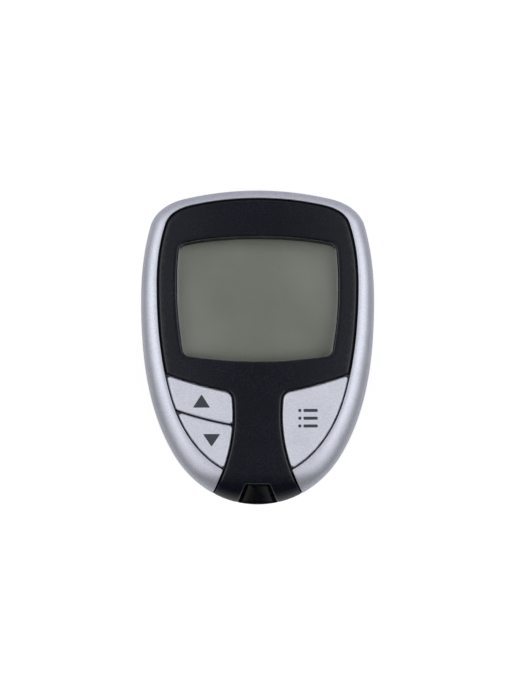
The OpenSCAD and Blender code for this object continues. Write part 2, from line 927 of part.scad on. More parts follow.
module housing_screws() {
  shank_z = head_z + head_h - eps;
  color("#b9bcc1") screw_spots() difference() {
    union() {
      translate([0, 0, head_z]) cylinder(r = head_r, h = head_h, $fn = round_fn);
      translate([0, 0, shank_z])
        cylinder(r = screw_r, h = boss_foot_z + pilot_l - pilot_room - shank_z,
          $fn = round_fn);
    }
    for (turn = [0, 90]) rotate(turn) translate([-cross_l / 2, -cross_w / 2, head_z - 1])
      cube([cross_l, cross_w, cross_depth + 1]);
  }
}

module back_label() {
  color("#c2c5ca") slab(label_depth - label_t, label_t) label_flat(0);
}

front_bezel();
fascia();
window_lens();
display_gasket();
lcd_panel();
lcd_reflector();
lcd_frame();
zebra_strips();
main_board();
microcontroller();
crystal();
small_components();
buzzer();
data_jack();
strip_connector();
strip_contacts();
keypad_membrane();
dome_up();
dome_down();
dome_memory();
key_up();
key_down();
key_memory();
rear_shell();
battery_door();
coin_cell_left();
coin_cell_right();
battery_springs();
battery_clips();
housing_screws();
back_label();
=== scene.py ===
# %% [markdown]
# # A palm-sized blood glucose meter
#
# The meter lies on its back: z = 0 is the surface under it, the face looks up, and the
# port for the test strip points to -Y. The measured solids come in first, as a frame
# that is never moved. Each visible piece is then built again around that frame with
# finer curves and softened edges. Lengths here are in millimetres until a mesh is made.

import math

import bmesh
import bpy
import numpy as np
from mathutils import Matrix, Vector
from mathutils.geometry import delaunay_2d_cdt, tessellate_polygon


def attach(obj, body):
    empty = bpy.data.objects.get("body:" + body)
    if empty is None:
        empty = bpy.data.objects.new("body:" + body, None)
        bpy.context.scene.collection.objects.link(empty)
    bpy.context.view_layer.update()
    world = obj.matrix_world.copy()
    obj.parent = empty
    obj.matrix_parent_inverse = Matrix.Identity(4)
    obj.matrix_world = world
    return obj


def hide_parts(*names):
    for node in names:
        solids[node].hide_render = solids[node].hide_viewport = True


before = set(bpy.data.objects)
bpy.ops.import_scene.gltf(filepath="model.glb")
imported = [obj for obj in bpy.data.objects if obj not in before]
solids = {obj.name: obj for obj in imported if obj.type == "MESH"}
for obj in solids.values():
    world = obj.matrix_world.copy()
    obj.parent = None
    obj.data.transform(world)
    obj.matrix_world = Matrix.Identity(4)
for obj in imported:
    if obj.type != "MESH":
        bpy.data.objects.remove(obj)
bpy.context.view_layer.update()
MM = 0.001

# %% [markdown]
# ## One helper for every shader and geometry node
#
# Node trees get long when each node takes five lines. This helper adds one node, sets
# its properties and input values, and joins its inputs to the sockets that feed them.
# Colours are picked as sRGB hex values and turned to linear here and nowhere else.


# %% Node and colour helpers
def add(tree, kind, settings=None, values=None, links=None):
    made = tree.nodes.new(kind)
    for name, value in (settings or {}).items():
        setattr(made, name, value)
    for socket, value in (values or {}).items():
        made.inputs[socket].default_value = value
    for socket, source in (links or {}).items():
        tree.links.new(source, made.inputs[socket])
    return made


def linear(hex_code):
    parts = [int(hex_code[i : i + 2], 16) / 255 for i in (1, 3, 5)]
    return [c / 12.92 if c <= 0.04045 else ((c + 0.055) / 1.055) ** 2.4 for c in parts] + [1]


def start_material(name, **values):
    """A Principled shader with these socket values, its tree, and object coordinates."""
    made = bpy.data.materials.new(name)
    made.use_nodes = True
    tree = made.node_tree
    tree.nodes.clear()
    sockets = {key.replace("_", " "): value for key, value in values.items()}
    shader = add(tree, "ShaderNodeBsdfPrincipled", values=sockets)
    add(tree, "ShaderNodeOutputMaterial", links={"Surface": shader.outputs[0]})
    place = add(tree, "ShaderNodeTexCoord").outputs["Object"]
    return made, tree, shader, place


# %% [markdown]
# ## Grained surfaces
#
# Nearly all of the meter is moulded, painted or rolled, and each of these leaves a fine
# grain: flakes in a paint, the spark-eroded skin of a mould, scratches from a roll. So
# one function makes them all. A noise of the grain's size drives the tone, the roughness
# and a low relief, and a slow noise adds the unevenness that any coating or moulding has
# over some 8 mm. Rolled and turned metal is scratched one way, so there the noise is
# stretched. The relief is what glitters: it tilts each grain a little, as real flakes are.


# %% Grained surface
CLOUD_MM = 8.0


def grained(name, dark, light, grain_mm, smooth, rough, relief_mm, stretch=(1, 1, 1), **values):
    """Colour, roughness and relief that all follow one noise of this grain size."""
    made, tree, shader, place = start_material(name, **values)
    lie = add(tree, "ShaderNodeMapping", values={"Scale": stretch}, links={"Vector": place})
    grain = add(tree, "ShaderNodeTexNoise",
                values={"Scale": 1 / (grain_mm * MM), "Detail": 3.0, "Roughness": 0.65},
                links={"Vector": lie.outputs[0]})
    cloud = add(tree, "ShaderNodeTexNoise",
                values={"Scale": 1 / (CLOUD_MM * MM), "Detail": 2.0}, links={"Vector": place})
    blend = add(tree, "ShaderNodeMath", {"operation": "MULTIPLY_ADD"}, {1: 0.3},
                {0: cloud.outputs[0], 2: grain.outputs[0]})
    tone = add(tree, "ShaderNodeMapRange", values={"From Min": 0.4, "From Max": 0.9},
               links={"Value": blend.outputs[0]})
    colour = add(tree, "ShaderNodeMix", {"data_type": "RGBA"},
                 {6: linear(dark), 7: linear(light)}, {0: tone.outputs[0]})
    gloss = add(tree, "ShaderNodeMapRange", values={"To Min": smooth, "To Max": rough},
                links={"Value": grain.outputs[0]})
    bump = add(tree, "ShaderNodeBump", values={"Distance": relief_mm * MM},
               links={"Height": grain.outputs[0]})
    tree.links.new(colour.outputs[2], shader.inputs["Base Color"])
    tree.links.new(gloss.outputs[0], shader.inputs["Roughness"])
    tree.links.new(bump.outputs[0], shader.inputs["Normal"])
    return made


print("clouds in each grained surface:", CLOUD_MM, "mm")

# %% [markdown]
# ## The case: paint, grained ABS and ink
#
# ABS is the usual plastic of hand-held cases. It is tough and takes paint well, and bare
# black ABS from a grained mould has a soft grey sheen in place of a mirror image.


# %% Finishes of the case
# Silver flake paint: aluminium flakes of 0.03 mm in clear lacquer, sprayed on the ring.
# They lie nearly flat, so it shines softly like metal, with specks drawn ten times coarser.
silver_paint = grained("silver_flake_paint", "#CBCDDB", "#E9EBF6", 0.35, 0.38, 0.5, 0.010,
                       Metallic=0.7, IOR=1.5)
# The keys get a copy of the ring's paint, less metallic, rougher and painted paler: a painted
# lightening that makes the flat caps brighter than the same paint would be under these lamps.
key_paint_painted_paler = grained("matt_silver_paint_painted_paler", "#D6D8E6", "#F1F3FC", 0.4, 0.44, 0.57, 0.012,
                    Metallic=0.5, IOR=1.5)
# Black ABS, moulded with a fine grain: nearly black, with a bluish sheen and dim specks.
black_abs = grained("black_grained_abs", "#070910", "#181E2A", 0.36, 0.16, 0.27, 0.014, IOR=1.45)
# Dark grey ABS with a coarser grain, 0.6 mm: the back half, which has to hide scratches.
grey_abs = grained("dark_grey_grained_abs", "#1C1E23", "#2A2D33", 0.6, 0.46, 0.62, 0.04, IOR=1.5)
# Black ABS from a polished part of the mould: a dark mirror, for the floor of the port. Its tones
# are painted darker than the face's, as painted shade of the deep recess.
polished_abs_painted_darker = grained("polished_black_abs_painted_shade", "#07080B", "#0D0F14", 0.5, 0.1, 0.16, 0.002, IOR=1.5)
# Pad-printed ink, baked on: flat dark grey, hardly any gloss.
key_ink = grained("baked_key_ink", "#31353F", "#3E434F", 0.5, 0.45, 0.6, 0.006, IOR=1.5)
# Polyester label film, metallised on the back: an even silver with a satin front.
label_film = grained("silver_label_film", "#B9BCC2", "#CDD0D5", 0.5, 0.3, 0.4, 0.004,
                     Metallic=0.5, IOR=1.5)
print("finishes of the case:", [m.name for m in bpy.data.materials])

# %% [markdown]
# ## Inner plastics, rubbers and metals
#
# Bare metals get Metallic 1 and keep the default index of refraction, since a metal's
# colour alone gives its reflection. Plastics and rubbers have an index near 1.5.


# %% Finishes inside
# Polyurethane foam with closed cells of 0.3 mm: matt black, rough to the touch.
foam_rubber = grained("black_closed_foam", "#08090A", "#141517", 0.3, 0.8, 0.95, 0.05, IOR=1.5)
# Nylon in its natural milky white, and dyed black with a slight shine.
natural_plastic = grained("natural_nylon", "#D3D1C7", "#E2E0D8", 0.8, 0.4, 0.5, 0.01, IOR=1.53)
black_nylon = grained("black_nylon", "#0D0E10", "#191A1D", 0.5, 0.35, 0.5, 0.02, IOR=1.53)
# Silicone rubber: a dull skin. The connector's has carbon layers 0.2 mm apart.
silicone = grained("grey_silicone", "#9A9EA3", "#ABAFB4", 0.9, 0.5, 0.62, 0.01, IOR=1.41)
dark_silicone = grained("layered_silicone", "#2B2D31", "#46494F", 0.2, 0.5, 0.6, 0.005,
                        (0.1, 1, 1), IOR=1.41)
# Stainless steel, turned: pale, with long fine scratches that stretch each highlight.
cell_steel = grained("turned_stainless_steel", "#A9ADB2", "#D9DBDE", 1.0, 0.2, 0.36, 0.004,
                     (0.15, 3, 1), Metallic=1.0)
# Nickel on spring strip and on the crystal's can: a warm grey shine along the strip.
nickel = grained("nickel_plated_strip", "#A8A9A6", "#D2D2CC", 1.0, 0.22, 0.38, 0.004,
                 (3, 0.3, 1), Metallic=1.0)
# Zinc on the screws: bluish grey and duller, with no direction.
zinc = grained("zinc_plated_steel", "#8E9196", "#BFC2C6", 1.0, 0.28, 0.44, 0.004, Metallic=1.0)
# Gold flash on phosphor bronze, rolled along the spring.
gold = grained("gold_plated_spring", "#B88A2B", "#E7C566", 1.0, 0.17, 0.33, 0.004,
               (3, 0.3, 1), Metallic=1.0)
# Reflector foil: brushed aluminium with a greenish tint.
foil = grained("reflector_foil", "#B4B8B0", "#D5D8D0", 1.0, 0.27, 0.43, 0.004,
               (0.2, 3, 1), Metallic=1.0)
print("finishes so far:", len(bpy.data.materials))

# %% [markdown]
# ## The window, the display and the board
#
# The window is acrylic, index 1.49, with a hard gloss coat. The display behind it is
# glass over a dull reflector, so it looks like grey-green paper with a faint gloss; its
# liquid-crystal cell is off, so it shows no segments. These surfaces have no grain to
# feel, only a slight drift between two tones.
#
# Lamps are let straight through the acrylic with a small loss, since tracing their light
# through it would leave the display noisy. The case's edge shades the top of the display.
# The soft lamps here shade it less than in the picture, so a painted shade darkens the display's
# colour towards its top edge as well.


# %% Window, display and board
def patterned(name, dark, light, scale_mm, low, high, **values):
    """A colour that drifts between two tones where a noise passes from low to high."""
    made, tree, shader, place = start_material(name, **values)
    noise = add(tree, "ShaderNodeTexNoise", values={"Scale": 1 / (scale_mm * MM), "Detail": 2.0},
                links={"Vector": place})
    tone = add(tree, "ShaderNodeMapRange", values={"From Min": low, "From Max": high},
               links={"Value": noise.outputs[0]})
    colour = add(tree, "ShaderNodeMix", {"data_type": "RGBA"},
                 {6: linear(dark), 7: linear(light)}, {0: tone.outputs[0]})
    tree.links.new(colour.outputs[2], shader.inputs["Base Color"])
    return made, tree, shader, place


acrylic, tree, shader, place = patterned(
    "clear_acrylic", "#F4F6F4", "#FFFFFF", 17, 0.3, 0.7,
    Roughness=0.02, IOR=1.49, Transmission_Weight=1.0)
clear = add(tree, "ShaderNodeBsdfTransparent", values={"Color": (0.86, 0.87, 0.87, 1)})
is_shadow = add(tree, "ShaderNodeLightPath").outputs["Is Shadow Ray"]
through = add(tree, "ShaderNodeMixShader",
              links={0: is_shadow, 1: shader.outputs[0], 2: clear.outputs[0]})
tree.links.new(through.outputs[0], tree.nodes["Material Output"].inputs["Surface"])

display_glass, tree, shader, place = patterned(
    "reflective_display", "#86887F", "#8A8D83", 0.4, 0.3, 0.7, Roughness=0.3, IOR=1.52)
# painted shade: the display's colour falls towards a dark grey-green over its top 5 mm, standing
# in for the shadow of the case's edge
along_y = add(tree, "ShaderNodeSeparateXYZ", links={0: place}).outputs["Y"]
shade = add(tree, "ShaderNodeMapRange", {"interpolation_type": "SMOOTHSTEP"},
            {"From Min": 22.5 * MM, "From Max": 27.2 * MM, "To Max": 0.5}, {"Value": along_y})
shaded = add(tree, "ShaderNodeMix", {"data_type": "RGBA"}, {7: linear("#2C2E28")},
             {0: shade.outputs[0], 6: shader.inputs["Base Color"].links[0].from_socket})
tree.links.new(shaded.outputs[2], shader.inputs["Base Color"])

# Glass-fibre board under green solder mask: the copper's pattern shows through, paler.
solder_mask = patterned("green_solder_mask", "#0F4A2B", "#2C7D4C", 1.4, 0.49, 0.51,
                        Roughness=0.3, IOR=1.5)[0]
# Epoxy round the chip: matt, filled with powdered quartz.
chip_epoxy = patterned("chip_epoxy", "#15171A", "#25272B", 0.33, 0.3, 0.7,
                       Roughness=0.6, IOR=1.55)[0]
# Fired ceramic of the small parts: tan, slightly mottled.
tan_ceramic = patterned("tan_ceramic", "#7C6041", "#A08258", 0.67, 0.3, 0.7,
                        Roughness=0.45, IOR=1.6)[0]
print("all finishes:", len(bpy.data.materials))

# %% [markdown]
# ## Outlines
#
# The case has two smooth outlines: its silhouette and the inner edge of the silver ring.
# Each is given by a few knots, with a place and a heading, joined by cubic curves that
# run close to arcs. The rule is the one the solids were drawn with, but ten times as
# finely stepped, so no facets show in the reflections on the ring.

# %% Knots, curves and insets
CASE_KNOTS = [(0, 38.5, 0), (18, 36.4, -13), (26.3, 29.6, -74.5), (28.55, 11.7, -90),
              (20.4, -26.4, -121), (0, -38.5, -180)]
RING_KNOTS = [(0, 36.6, 0), (16, 34.9, -12.5), (22.5, 30.4, -71.5), (24.65, 15.7, -90),
              (21, -13, -107), (0, -31.9, -180)]
SPAN_STEPS = 36


def half_outline(knots):
    """The right half, clockwise from the top middle to the bottom middle."""
    t = np.linspace(0, 1, SPAN_STEPS, endpoint=False)[:, None]
    spans = []
    for (ax, ay, aim_a), (bx, by, aim_b) in zip(knots, knots[1:]):
        a, b = np.array([ax, ay], float), np.array([bx, by], float)
        run = np.linalg.norm(b - a) / 3 / math.cos(math.radians(aim_b - aim_a) / 4) ** 2
        out = run * np.array([math.cos(math.radians(aim_a)), math.sin(math.radians(aim_a))])
        back = run * np.array([math.cos(math.radians(aim_b)), math.sin(math.radians(aim_b))])
        spans.append(
            (1 - t) ** 3 * a
            + 3 * (1 - t) ** 2 * t * (a + out)
            + 3 * (1 - t) * t**2 * (b - back)
            + t**3 * b
        )
    return np.vstack(spans + [[knots[-1][:2]]])


def whole(half):
    return np.vstack([half, half[-2:0:-1] * (-1, 1)])


def inset(loop, d):
    """Every point moved to the right of its direction of travel: inwards if clockwise."""
    along = np.roll(loop, -1, 0) - np.roll(loop, 1, 0)
    return loop + d * np.c_[along[:, 1], -along[:, 0]] / np.linalg.norm(along, axis=1)[:, None]


case_line = whole(half_outline(CASE_KNOTS))
ring_line = whole(half_outline(RING_KNOTS))
print("case outline:", len(case_line), "points,", np.ptp(case_line, axis=0), "mm")

# %% [markdown]
# ## The rolled edge
#
# Near the silhouette the face rolls over into the side wall as a quarter of an ellipse.
# That is a plain formula of the place, so the ring and the black face, which both run
# over the edge, meet without a step.

# %% Heights and the rolled edge
FACE_TOP, PART_Z, PLATE_Z = 23.0, 13.0, 17.8
EDGE_STEEP, EDGE_W = 0.78, 4.7


def edge_drop(share, width):
    """How far the rolled edge lies below the face at a share of its width from outside."""
    return EDGE_STEEP * width * (1 - np.sqrt(1 - (1 - np.clip(share, 0, 1)) ** 2))


def round_off(e, r):
    """Drop of a rounded edge of radius r at a distance e from the edge."""
    return r - np.sqrt(np.maximum(0, r * r - np.clip(r - e, 0, r) ** 2))


def column_x(y):
    """Half of the width between the keys' inner edges."""
    return 6.1 + 0.0135 * (y + 16.5) ** 2


print("drop at the silhouette:", round(float(edge_drop(0, EDGE_W)), 2), "mm")

# %% [markdown]
# ## The crowned face, as a Geometry Nodes tree
#
# The ring, the black face, the keys and their printed marks all lie on one gently domed
# surface that dips over the strip port. A real mould has this one surface milled into
# it. Here one tree plays the mould: the pieces are made flat, and each point marked
# `on_face` is lifted by the height of the surface at its place. Change an input of the
# tree, and all the pieces follow.


# %% The tree that lays pieces on the face
def open_tree(name, wanted):
    """A new tree with a geometry input and output, and more inputs by name and kind."""
    tree = bpy.data.node_groups.new(name, "GeometryNodeTree")
    for label, kind in [("Geometry", "Geometry")] + wanted + [("Finish", "Material")]:
        tree.interface.new_socket(label, in_out="INPUT", socket_type="NodeSocket" + kind)
    tree.interface.new_socket("Geometry", in_out="OUTPUT", socket_type="NodeSocketGeometry")
    return tree, add(tree, "NodeGroupInput").outputs


def close_tree(tree, shape, finish):
    real = add(tree, "GeometryNodeRealizeInstances", links={"Geometry": shape})
    paint = add(tree, "GeometryNodeSetMaterial", links={
        "Geometry": real.outputs[0], "Material": finish})
    add(tree, "NodeGroupOutput", links={0: paint.outputs[0]})
    return tree


CROWN = {"Top": FACE_TOP * MM, "Across": 1.2, "Along": 0.6, "Middle": 8 * MM,
         "Dip Start": -30 * MM, "Dip Run": 8.5 * MM, "Dip": 2.6 * MM}
# top - across x^2 - along (y - middle)^2 - dip (max(0, dip start - y) / dip run)^2
FORMULA = [("x2", "MULTIPLY", "X", "X"), ("a", "MULTIPLY", "x2", "Across"),
           ("v", "SUBTRACT", "Y", "Middle"), ("v2", "MULTIPLY", "v", "v"),
           ("b", "MULTIPLY", "v2", "Along"), ("gap", "SUBTRACT", "Dip Start", "Y"),
           ("past", "MAXIMUM", "gap", None), ("part", "DIVIDE", "past", "Dip Run"),
           ("part2", "MULTIPLY", "part", "part"), ("c", "MULTIPLY", "part2", "Dip"),
           ("h1", "SUBTRACT", "Top", "a"), ("h2", "SUBTRACT", "h1", "b"),
           ("height", "SUBTRACT", "h2", "c")]
tree, given = open_tree("lay_on_face", [(label, "Float") for label in CROWN])
position = add(tree, "GeometryNodeInputPosition")
split = add(tree, "ShaderNodeSeparateXYZ", links={0: position.outputs[0]}).outputs
known = {label: given[label] for label in CROWN} | {"X": split["X"], "Y": split["Y"]}
for label, operation, first, second in FORMULA:
    known[label] = add(
        tree, "ShaderNodeMath", {"operation": operation}, {1: 0.0},
        {k: known[name] for k, name in enumerate((first, second)) if name},
    ).outputs[0]
lift = add(tree, "ShaderNodeCombineXYZ", links={"Z": known["height"]})
marked = add(tree, "GeometryNodeInputNamedAttribute", {"data_type": "BOOLEAN"},
             {"Name": "on_face"})
moved = add(tree, "GeometryNodeSetPosition", links={
    "Geometry": given["Geometry"], "Selection": marked.outputs[0], "Offset": lift.outputs[0]})
lay_on_face = close_tree(tree, moved.outputs[0], given["Finish"])


def evaluate(obj, tree, values):
    """Runs a tree on an object with these named inputs and keeps the plain mesh."""
    step = obj.modifiers.new(tree.name, "NODES")
    step.node_group = tree
    for item in tree.interface.items_tree:
        if item.item_type == "SOCKET" and item.in_out == "INPUT" and item.name in values:
            step[item.identifier] = values[item.name]
    bake(obj)


def bake(obj):
    """The object's mesh becomes what its modifiers make of it, and they go."""
    bpy.context.view_layer.update()
    now = bpy.context.evaluated_depsgraph_get()
    result = bpy.data.meshes.new_from_object(obj.evaluated_get(now))
    obj.modifiers.clear()
    obj.data = result


print("tree:", lay_on_face.name, "with", len(lay_on_face.nodes), "nodes")

# %% [markdown]
# ## Turning rings and outlines into meshes
#
# Most pieces are one of two things. A **loft** joins rings of equal length, as the ring
# and the case do. A **plate** is any flat outline, with holes, laid on a surface: the
# black face, the keys and the printed marks are plates. A plate's points are its outline,
# a few copies of it that step inwards over the rounded edge, and an even grid inside.
# A Delaunay triangulation joins them, and the height of each point comes from the
# surface's formula and its distance from the edge, so the rounding is exact geometry.


# %% Lofts
def loft(rings):
    """Closed shell through rings of points, clockwise from above and the outside going up."""
    n, m = len(rings[0]), len(rings)
    faces = [tuple(range(n)), tuple(range(m * n - 1, (m - 1) * n - 1, -1))]
    for low in range(0, (m - 1) * n, n):
        for i in range(n):
            j = (i + 1) % n
            faces.append((low + j, low + i, low + n + i, low + n + j))
    return np.vstack(rings), faces


def at(loop, z):
    return np.c_[loop, np.full(len(loop), z)]


def block(loop, steps):
    """A straight-sided piece: steps are (inset, height) from the bottom to the top."""
    return loft([at(inset(loop, d), z) for d, z in steps])


slab_points, slab_faces = block(case_line, [(0, 0), (0, PART_Z)])
print("the case outline as a block:", len(slab_points), "points,", len(slab_faces), "faces")

# %% [markdown]
# The distances and the inside test run on whole arrays of points at once, because a
# plate has thousands of them.


# %% Distances, resampling and the inside test
def segments(lines):
    """Start and end points of lines, each (points, closed)."""
    starts = [p if closed else p[:-1] for p, closed in lines]
    ends = [np.roll(p, -1, 0) if closed else p[1:] for p, closed in lines]
    return np.vstack(starts), np.vstack(ends)


def distance(points, lines):
    a, b = segments(lines)
    ab = b - a
    span = np.maximum((ab**2).sum(1), 1e-12)
    best = []
    for p in np.array_split(points, len(points) // 300 + 1):
        t = np.clip(((p[:, None] - a) * ab).sum(2) / span, 0, 1)
        best.append(np.linalg.norm(a + t[..., None] * ab - p[:, None], axis=2).min(1))
    return np.concatenate(best)


def inside(points, loops):
    a, b = segments([(loop, True) for loop in loops])
    odd = []
    for p in np.array_split(points, len(points) // 600 + 1):
        x, y = p[:, 0:1], p[:, 1:2]
        spans = (a[:, 1] > y) != (b[:, 1] > y)
        rise = np.where(b[:, 1] == a[:, 1], 1, b[:, 1] - a[:, 1])
        hit = x < a[:, 0] + (y - a[:, 1]) * (b[:, 0] - a[:, 0]) / rise
        odd.append((spans & hit).sum(1) % 2 == 1)
    return np.concatenate(odd)


def turned(loop, clockwise=True):
    x, y = loop[:, 0], loop[:, 1]
    area = (x * np.roll(y, -1) - y * np.roll(x, -1)).sum()
    return loop if (area < 0) == clockwise else loop[::-1]


def evenly(loop, step):
    """A closed line with its points a step apart."""
    shut = np.vstack([loop, loop[:1]])
    run = np.r_[0, np.cumsum(np.linalg.norm(np.diff(shut, axis=0), axis=1))]
    count = max(8, int(round(run[-1] / step)))
    places = np.arange(count) * run[-1] / count
    return np.c_[np.interp(places, run, shut[:, 0]), np.interp(places, run, shut[:, 1])]


def soften(loop, spread, step=0.3):
    """Rounds a closed line's corners over a length of about twice the spread."""
    fine_step = 0.08
    fine = evenly(loop, fine_step)
    reach = int(3 * spread / fine_step)
    weights = np.exp(-0.5 * (np.arange(-reach, reach + 1) * fine_step / spread) ** 2)
    weights /= weights.sum()
    shut = np.vstack([fine[-reach:], fine, fine[:reach]])
    smooth = np.c_[[np.convolve(shut[:, k], weights, "valid") for k in (0, 1)]].T
    return evenly(smooth, step)


print("case outline at 1 mm:", len(evenly(case_line, 1)), "points")

# %% [markdown]
# `plate` makes the triangulation and keeps the triangles inside the outline. An edge
# that only one triangle uses is on the rim, and gets a wall down to the underside.


# %% Plates
EDGE_TURNS = np.radians([0, 20, 40, 60, 78, 90])


def plate(outline, top, bottom, radius, holes=(), round_lines=None, extra=(), spacing=1.0,
          laid=(True, False)):
    """A shell between two heights; laid says whether top and bottom count from the face."""
    loops = [turned(outline)] + [turned(h, False) for h in holes]
    depths = radius * (1 - np.cos(EDGE_TURNS)) if radius else [0.0]
    groups = [inset(loop, d) for loop in loops for d in depths]
    low, high = outline.min(0), outline.max(0)
    gx, gy = np.meshgrid(
        np.arange(low[0], high[0], spacing), np.arange(low[1], high[1], spacing * 0.87)
    )
    gx[1::2] += spacing / 2
    grid = np.c_[gx.ravel(), gy.ravel()]
    rim = [(loop, True) for loop in loops]
    grid = grid[inside(grid, loops)]
    grid = grid[distance(grid, rim) > radius + 0.35 * spacing]
    loose = [grid] + [e[inside(e, loops)] for e in extra]
    points, edges, start = np.vstack(groups + loose), [], 0
    for g in groups:
        edges += [(start + i, start + (i + 1) % len(g)) for i in range(len(g))]
        start += len(g)
    found = delaunay_2d_cdt([Vector(p) for p in points], edges, [], 0, 1e-5)
    flat = np.array([v[:] for v in found[0]])
    triangles = np.array(found[2])
    triangles = triangles[inside(flat[triangles].mean(1), loops)]
    cross = np.cross(flat[triangles[:, 1]] - flat[triangles[:, 0]],
                     flat[triangles[:, 2]] - flat[triangles[:, 0]])
    triangles[cross < 0] = triangles[cross < 0][:, ::-1]
    used, triangles = np.unique(triangles, return_inverse=True)
    flat, triangles = flat[used], triangles.reshape(-1, 3)
    n = len(flat)
    drop = round_off(distance(flat, round_lines or rim), radius) if radius else 0
    up, down = np.c_[flat, top(flat) - drop], np.c_[flat, bottom(flat)]
    sides = {(t[k - 1], t[k]) for t in triangles.tolist() for k in range(3)}
    faces = [tuple(t) for t in triangles.tolist()]
    faces += [(t[2] + n, t[1] + n, t[0] + n) for t in faces]
    faces += [(b, a, a + n, b + n) for a, b in sorted(sides) if (b, a) not in sides]
    return np.vstack([up, down]), faces, np.repeat(laid, n)


def flat_at(z):
    return lambda p: np.full(len(p), z)


print("rounded edges are turned in", len(EDGE_TURNS) - 1, "steps")

# %% [markdown]
# ## From a shell to a finished piece
#
# `piece` turns shells into one object in metres, shades it smooth except at real
# corners, gives it its material, lets it ride on a body of the frame, and hides the
# plain solids that it stands for.

# %% Pieces
CORNER = math.radians(32)


def solid_object(name, shells):
    """One object from shells of points, faces and, for some, the points that lie on the face."""
    points, faces, laid = [], [], []
    for shell_points, shell_faces, *marks in shells:
        start = sum(len(p) for p in points)
        points.append(shell_points)
        faces += [tuple(i + start for i in f) for f in shell_faces]
        laid.append(marks[0] if marks else np.zeros(len(shell_points), bool))
    mesh = bpy.data.meshes.new(name)
    mesh.from_pydata((np.vstack(points) * MM).tolist(), [], faces)
    obj = bpy.data.objects.new(name, mesh)
    bpy.context.scene.collection.objects.link(obj)
    laid = np.concatenate(laid)
    if laid.any():
        mesh.attributes.new("on_face", "BOOLEAN", "POINT").data.foreach_set("value", laid)
        evaluate(obj, lay_on_face, CROWN)
        obj.data.attributes.remove(obj.data.attributes["on_face"])
    return obj


def face_outwards(obj):
    work = bmesh.new()
    work.from_mesh(obj.data)
    bmesh.ops.recalc_face_normals(work, faces=work.faces)
    work.to_mesh(obj.data)
    work.free()


def dress(obj, material, body, solids_hidden=()):
    mesh = obj.data
    mesh.materials.clear()
    mesh.materials.append(material)
    mesh.shade_smooth()
    mesh.set_sharp_from_angle(angle=CORNER)
    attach(obj, body)
    if solids_hidden:
        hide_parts(*solids_hidden)
    mesh.calc_loop_triangles()
    print(f"{obj.name}: {len(mesh.loop_triangles)} triangles on {body}")


def piece(name, shells, material, body, solids_hidden=()):
    dress(solid_object(name, shells), material, body, solids_hidden)


print("edges over", round(math.degrees(CORNER)), "degrees stay sharp")

# %% [markdown]
# ## Cutting pieces
#
# Openings that a mould makes with a core or a slide are cut here with a Boolean modifier.
# The cutters are boxes and turned blocks.


# %% Boolean helper and simple cutters
def carve(obj, operation, shells):
    tool = solid_object("tool", shells)
    step = obj.modifiers.new("cut", "BOOLEAN")
    step.object, step.operation, step.solver = tool, operation, "EXACT"
    bake(obj)
    bpy.data.objects.remove(tool)


def shells_of(obj):
    """The shells of an object, taken away from the scene."""
    points = np.array([v.co[:] for v in obj.data.vertices]) / MM
    faces = [tuple(p.vertices) for p in obj.data.polygons]
    bpy.data.objects.remove(obj)
    return [(points, faces)]


def box_shell(x0, x1, y0, y1, z0, z1):
    return loft([at(np.array([(x0, y0), (x0, y1), (x1, y1), (x1, y0)], float), z)
                 for z in (z0, z1)])


def disc(x, y, r, steps=64):
    a = -np.linspace(0, 2 * math.pi, steps, endpoint=False)
    return np.c_[x + r * np.cos(a), y + r * np.sin(a)]


def round_block(x, y, steps, count=64):
    """A turned piece standing on the floor: steps are (radius, height)."""
    return loft([at(disc(x, y, r, count), z) for r, z in steps])


print("a disc of 1 mm radius:", np.ptp(disc(0, 0, 1), axis=0), "mm across")

# %% [markdown]
# ## Outlines taken from the frame
#
# The keys, the window and the black face have outlines with many small rules. Rather
# than repeat those rules, the solids are cut with a level plane, and the cut's outline
# is read back. This keeps the dressed pieces true to the solids.


# %% Sections
def section(name, z):
    """Closed outlines where a solid is cut at height z, the longest first."""
    work = bmesh.new()
    work.from_mesh(solids[name].data)
    bmesh.ops.remove_doubles(work, verts=work.verts, dist=1e-6)
    everything = work.verts[:] + work.edges[:] + work.faces[:]
    bmesh.ops.bisect_plane(
        work, geom=everything, plane_co=(0, 0, z * MM), plane_no=(0, 0, 1),
        clear_outer=True, clear_inner=True,
    )
    bmesh.ops.remove_doubles(work, verts=work.verts, dist=1e-6)
    left = set(work.verts)
    loops = []
    while left:
        v = left.pop()
        loop = [v]
        while True:
            ahead = [e.other_vert(v) for e in v.link_edges]
            ahead = [w for w in ahead if w in left]
            if not ahead:
                break
            v = ahead[0]
            left.discard(v)
            loop.append(v)
        loops.append(np.array([w.co[:2] for w in loop]) / MM)
    work.free()
    return sorted(loops, key=len_of, reverse=True)


def len_of(loop):
    return np.linalg.norm(np.roll(loop, -1, 0) - loop, axis=1).sum()


key_caps = {n: section(n, 20.5)[0] for n in ("key_up", "key_down", "key_memory")}
window_line = soften(section("window_lens", 21.9)[0], 0.15)
print("key outlines:", {n: round(len_of(c), 1) for n, c in key_caps.items()})

# %% [markdown]
# ## The silver ring
#
# The front half's frame is one painted moulding: a side wall, a rounded shoulder and a
# narrow rim that ends in a small radius beside the black face. It is open at the bottom,
# where the face's column runs out. It could be swept along a path, but its width varies,
# so it is lofted: each ring follows the outline at its own inset, and all of them stop
# at the column's edge.

# %% Silver ring
RIM_R, WALL_T, LEDGE = 0.3, 1.5, 2.2
along = np.roll(case_line, -1, 0) - np.roll(case_line, 1, 0)
inward = np.c_[along[:, 1], -along[:, 0]] / np.linalg.norm(along, axis=1)[:, None]
reach = ring_line - case_line
reach_w = np.linalg.norm(reach, axis=1)
edge_width = np.minimum((reach * inward).sum(1), EDGE_W)


def profile_row(line, z, laid):
    """One outline of the ring's profile: x, y, z, and 1 where z counts from the face."""
    return np.c_[line, np.ones(len(line)) * z, np.full(len(line), laid)]


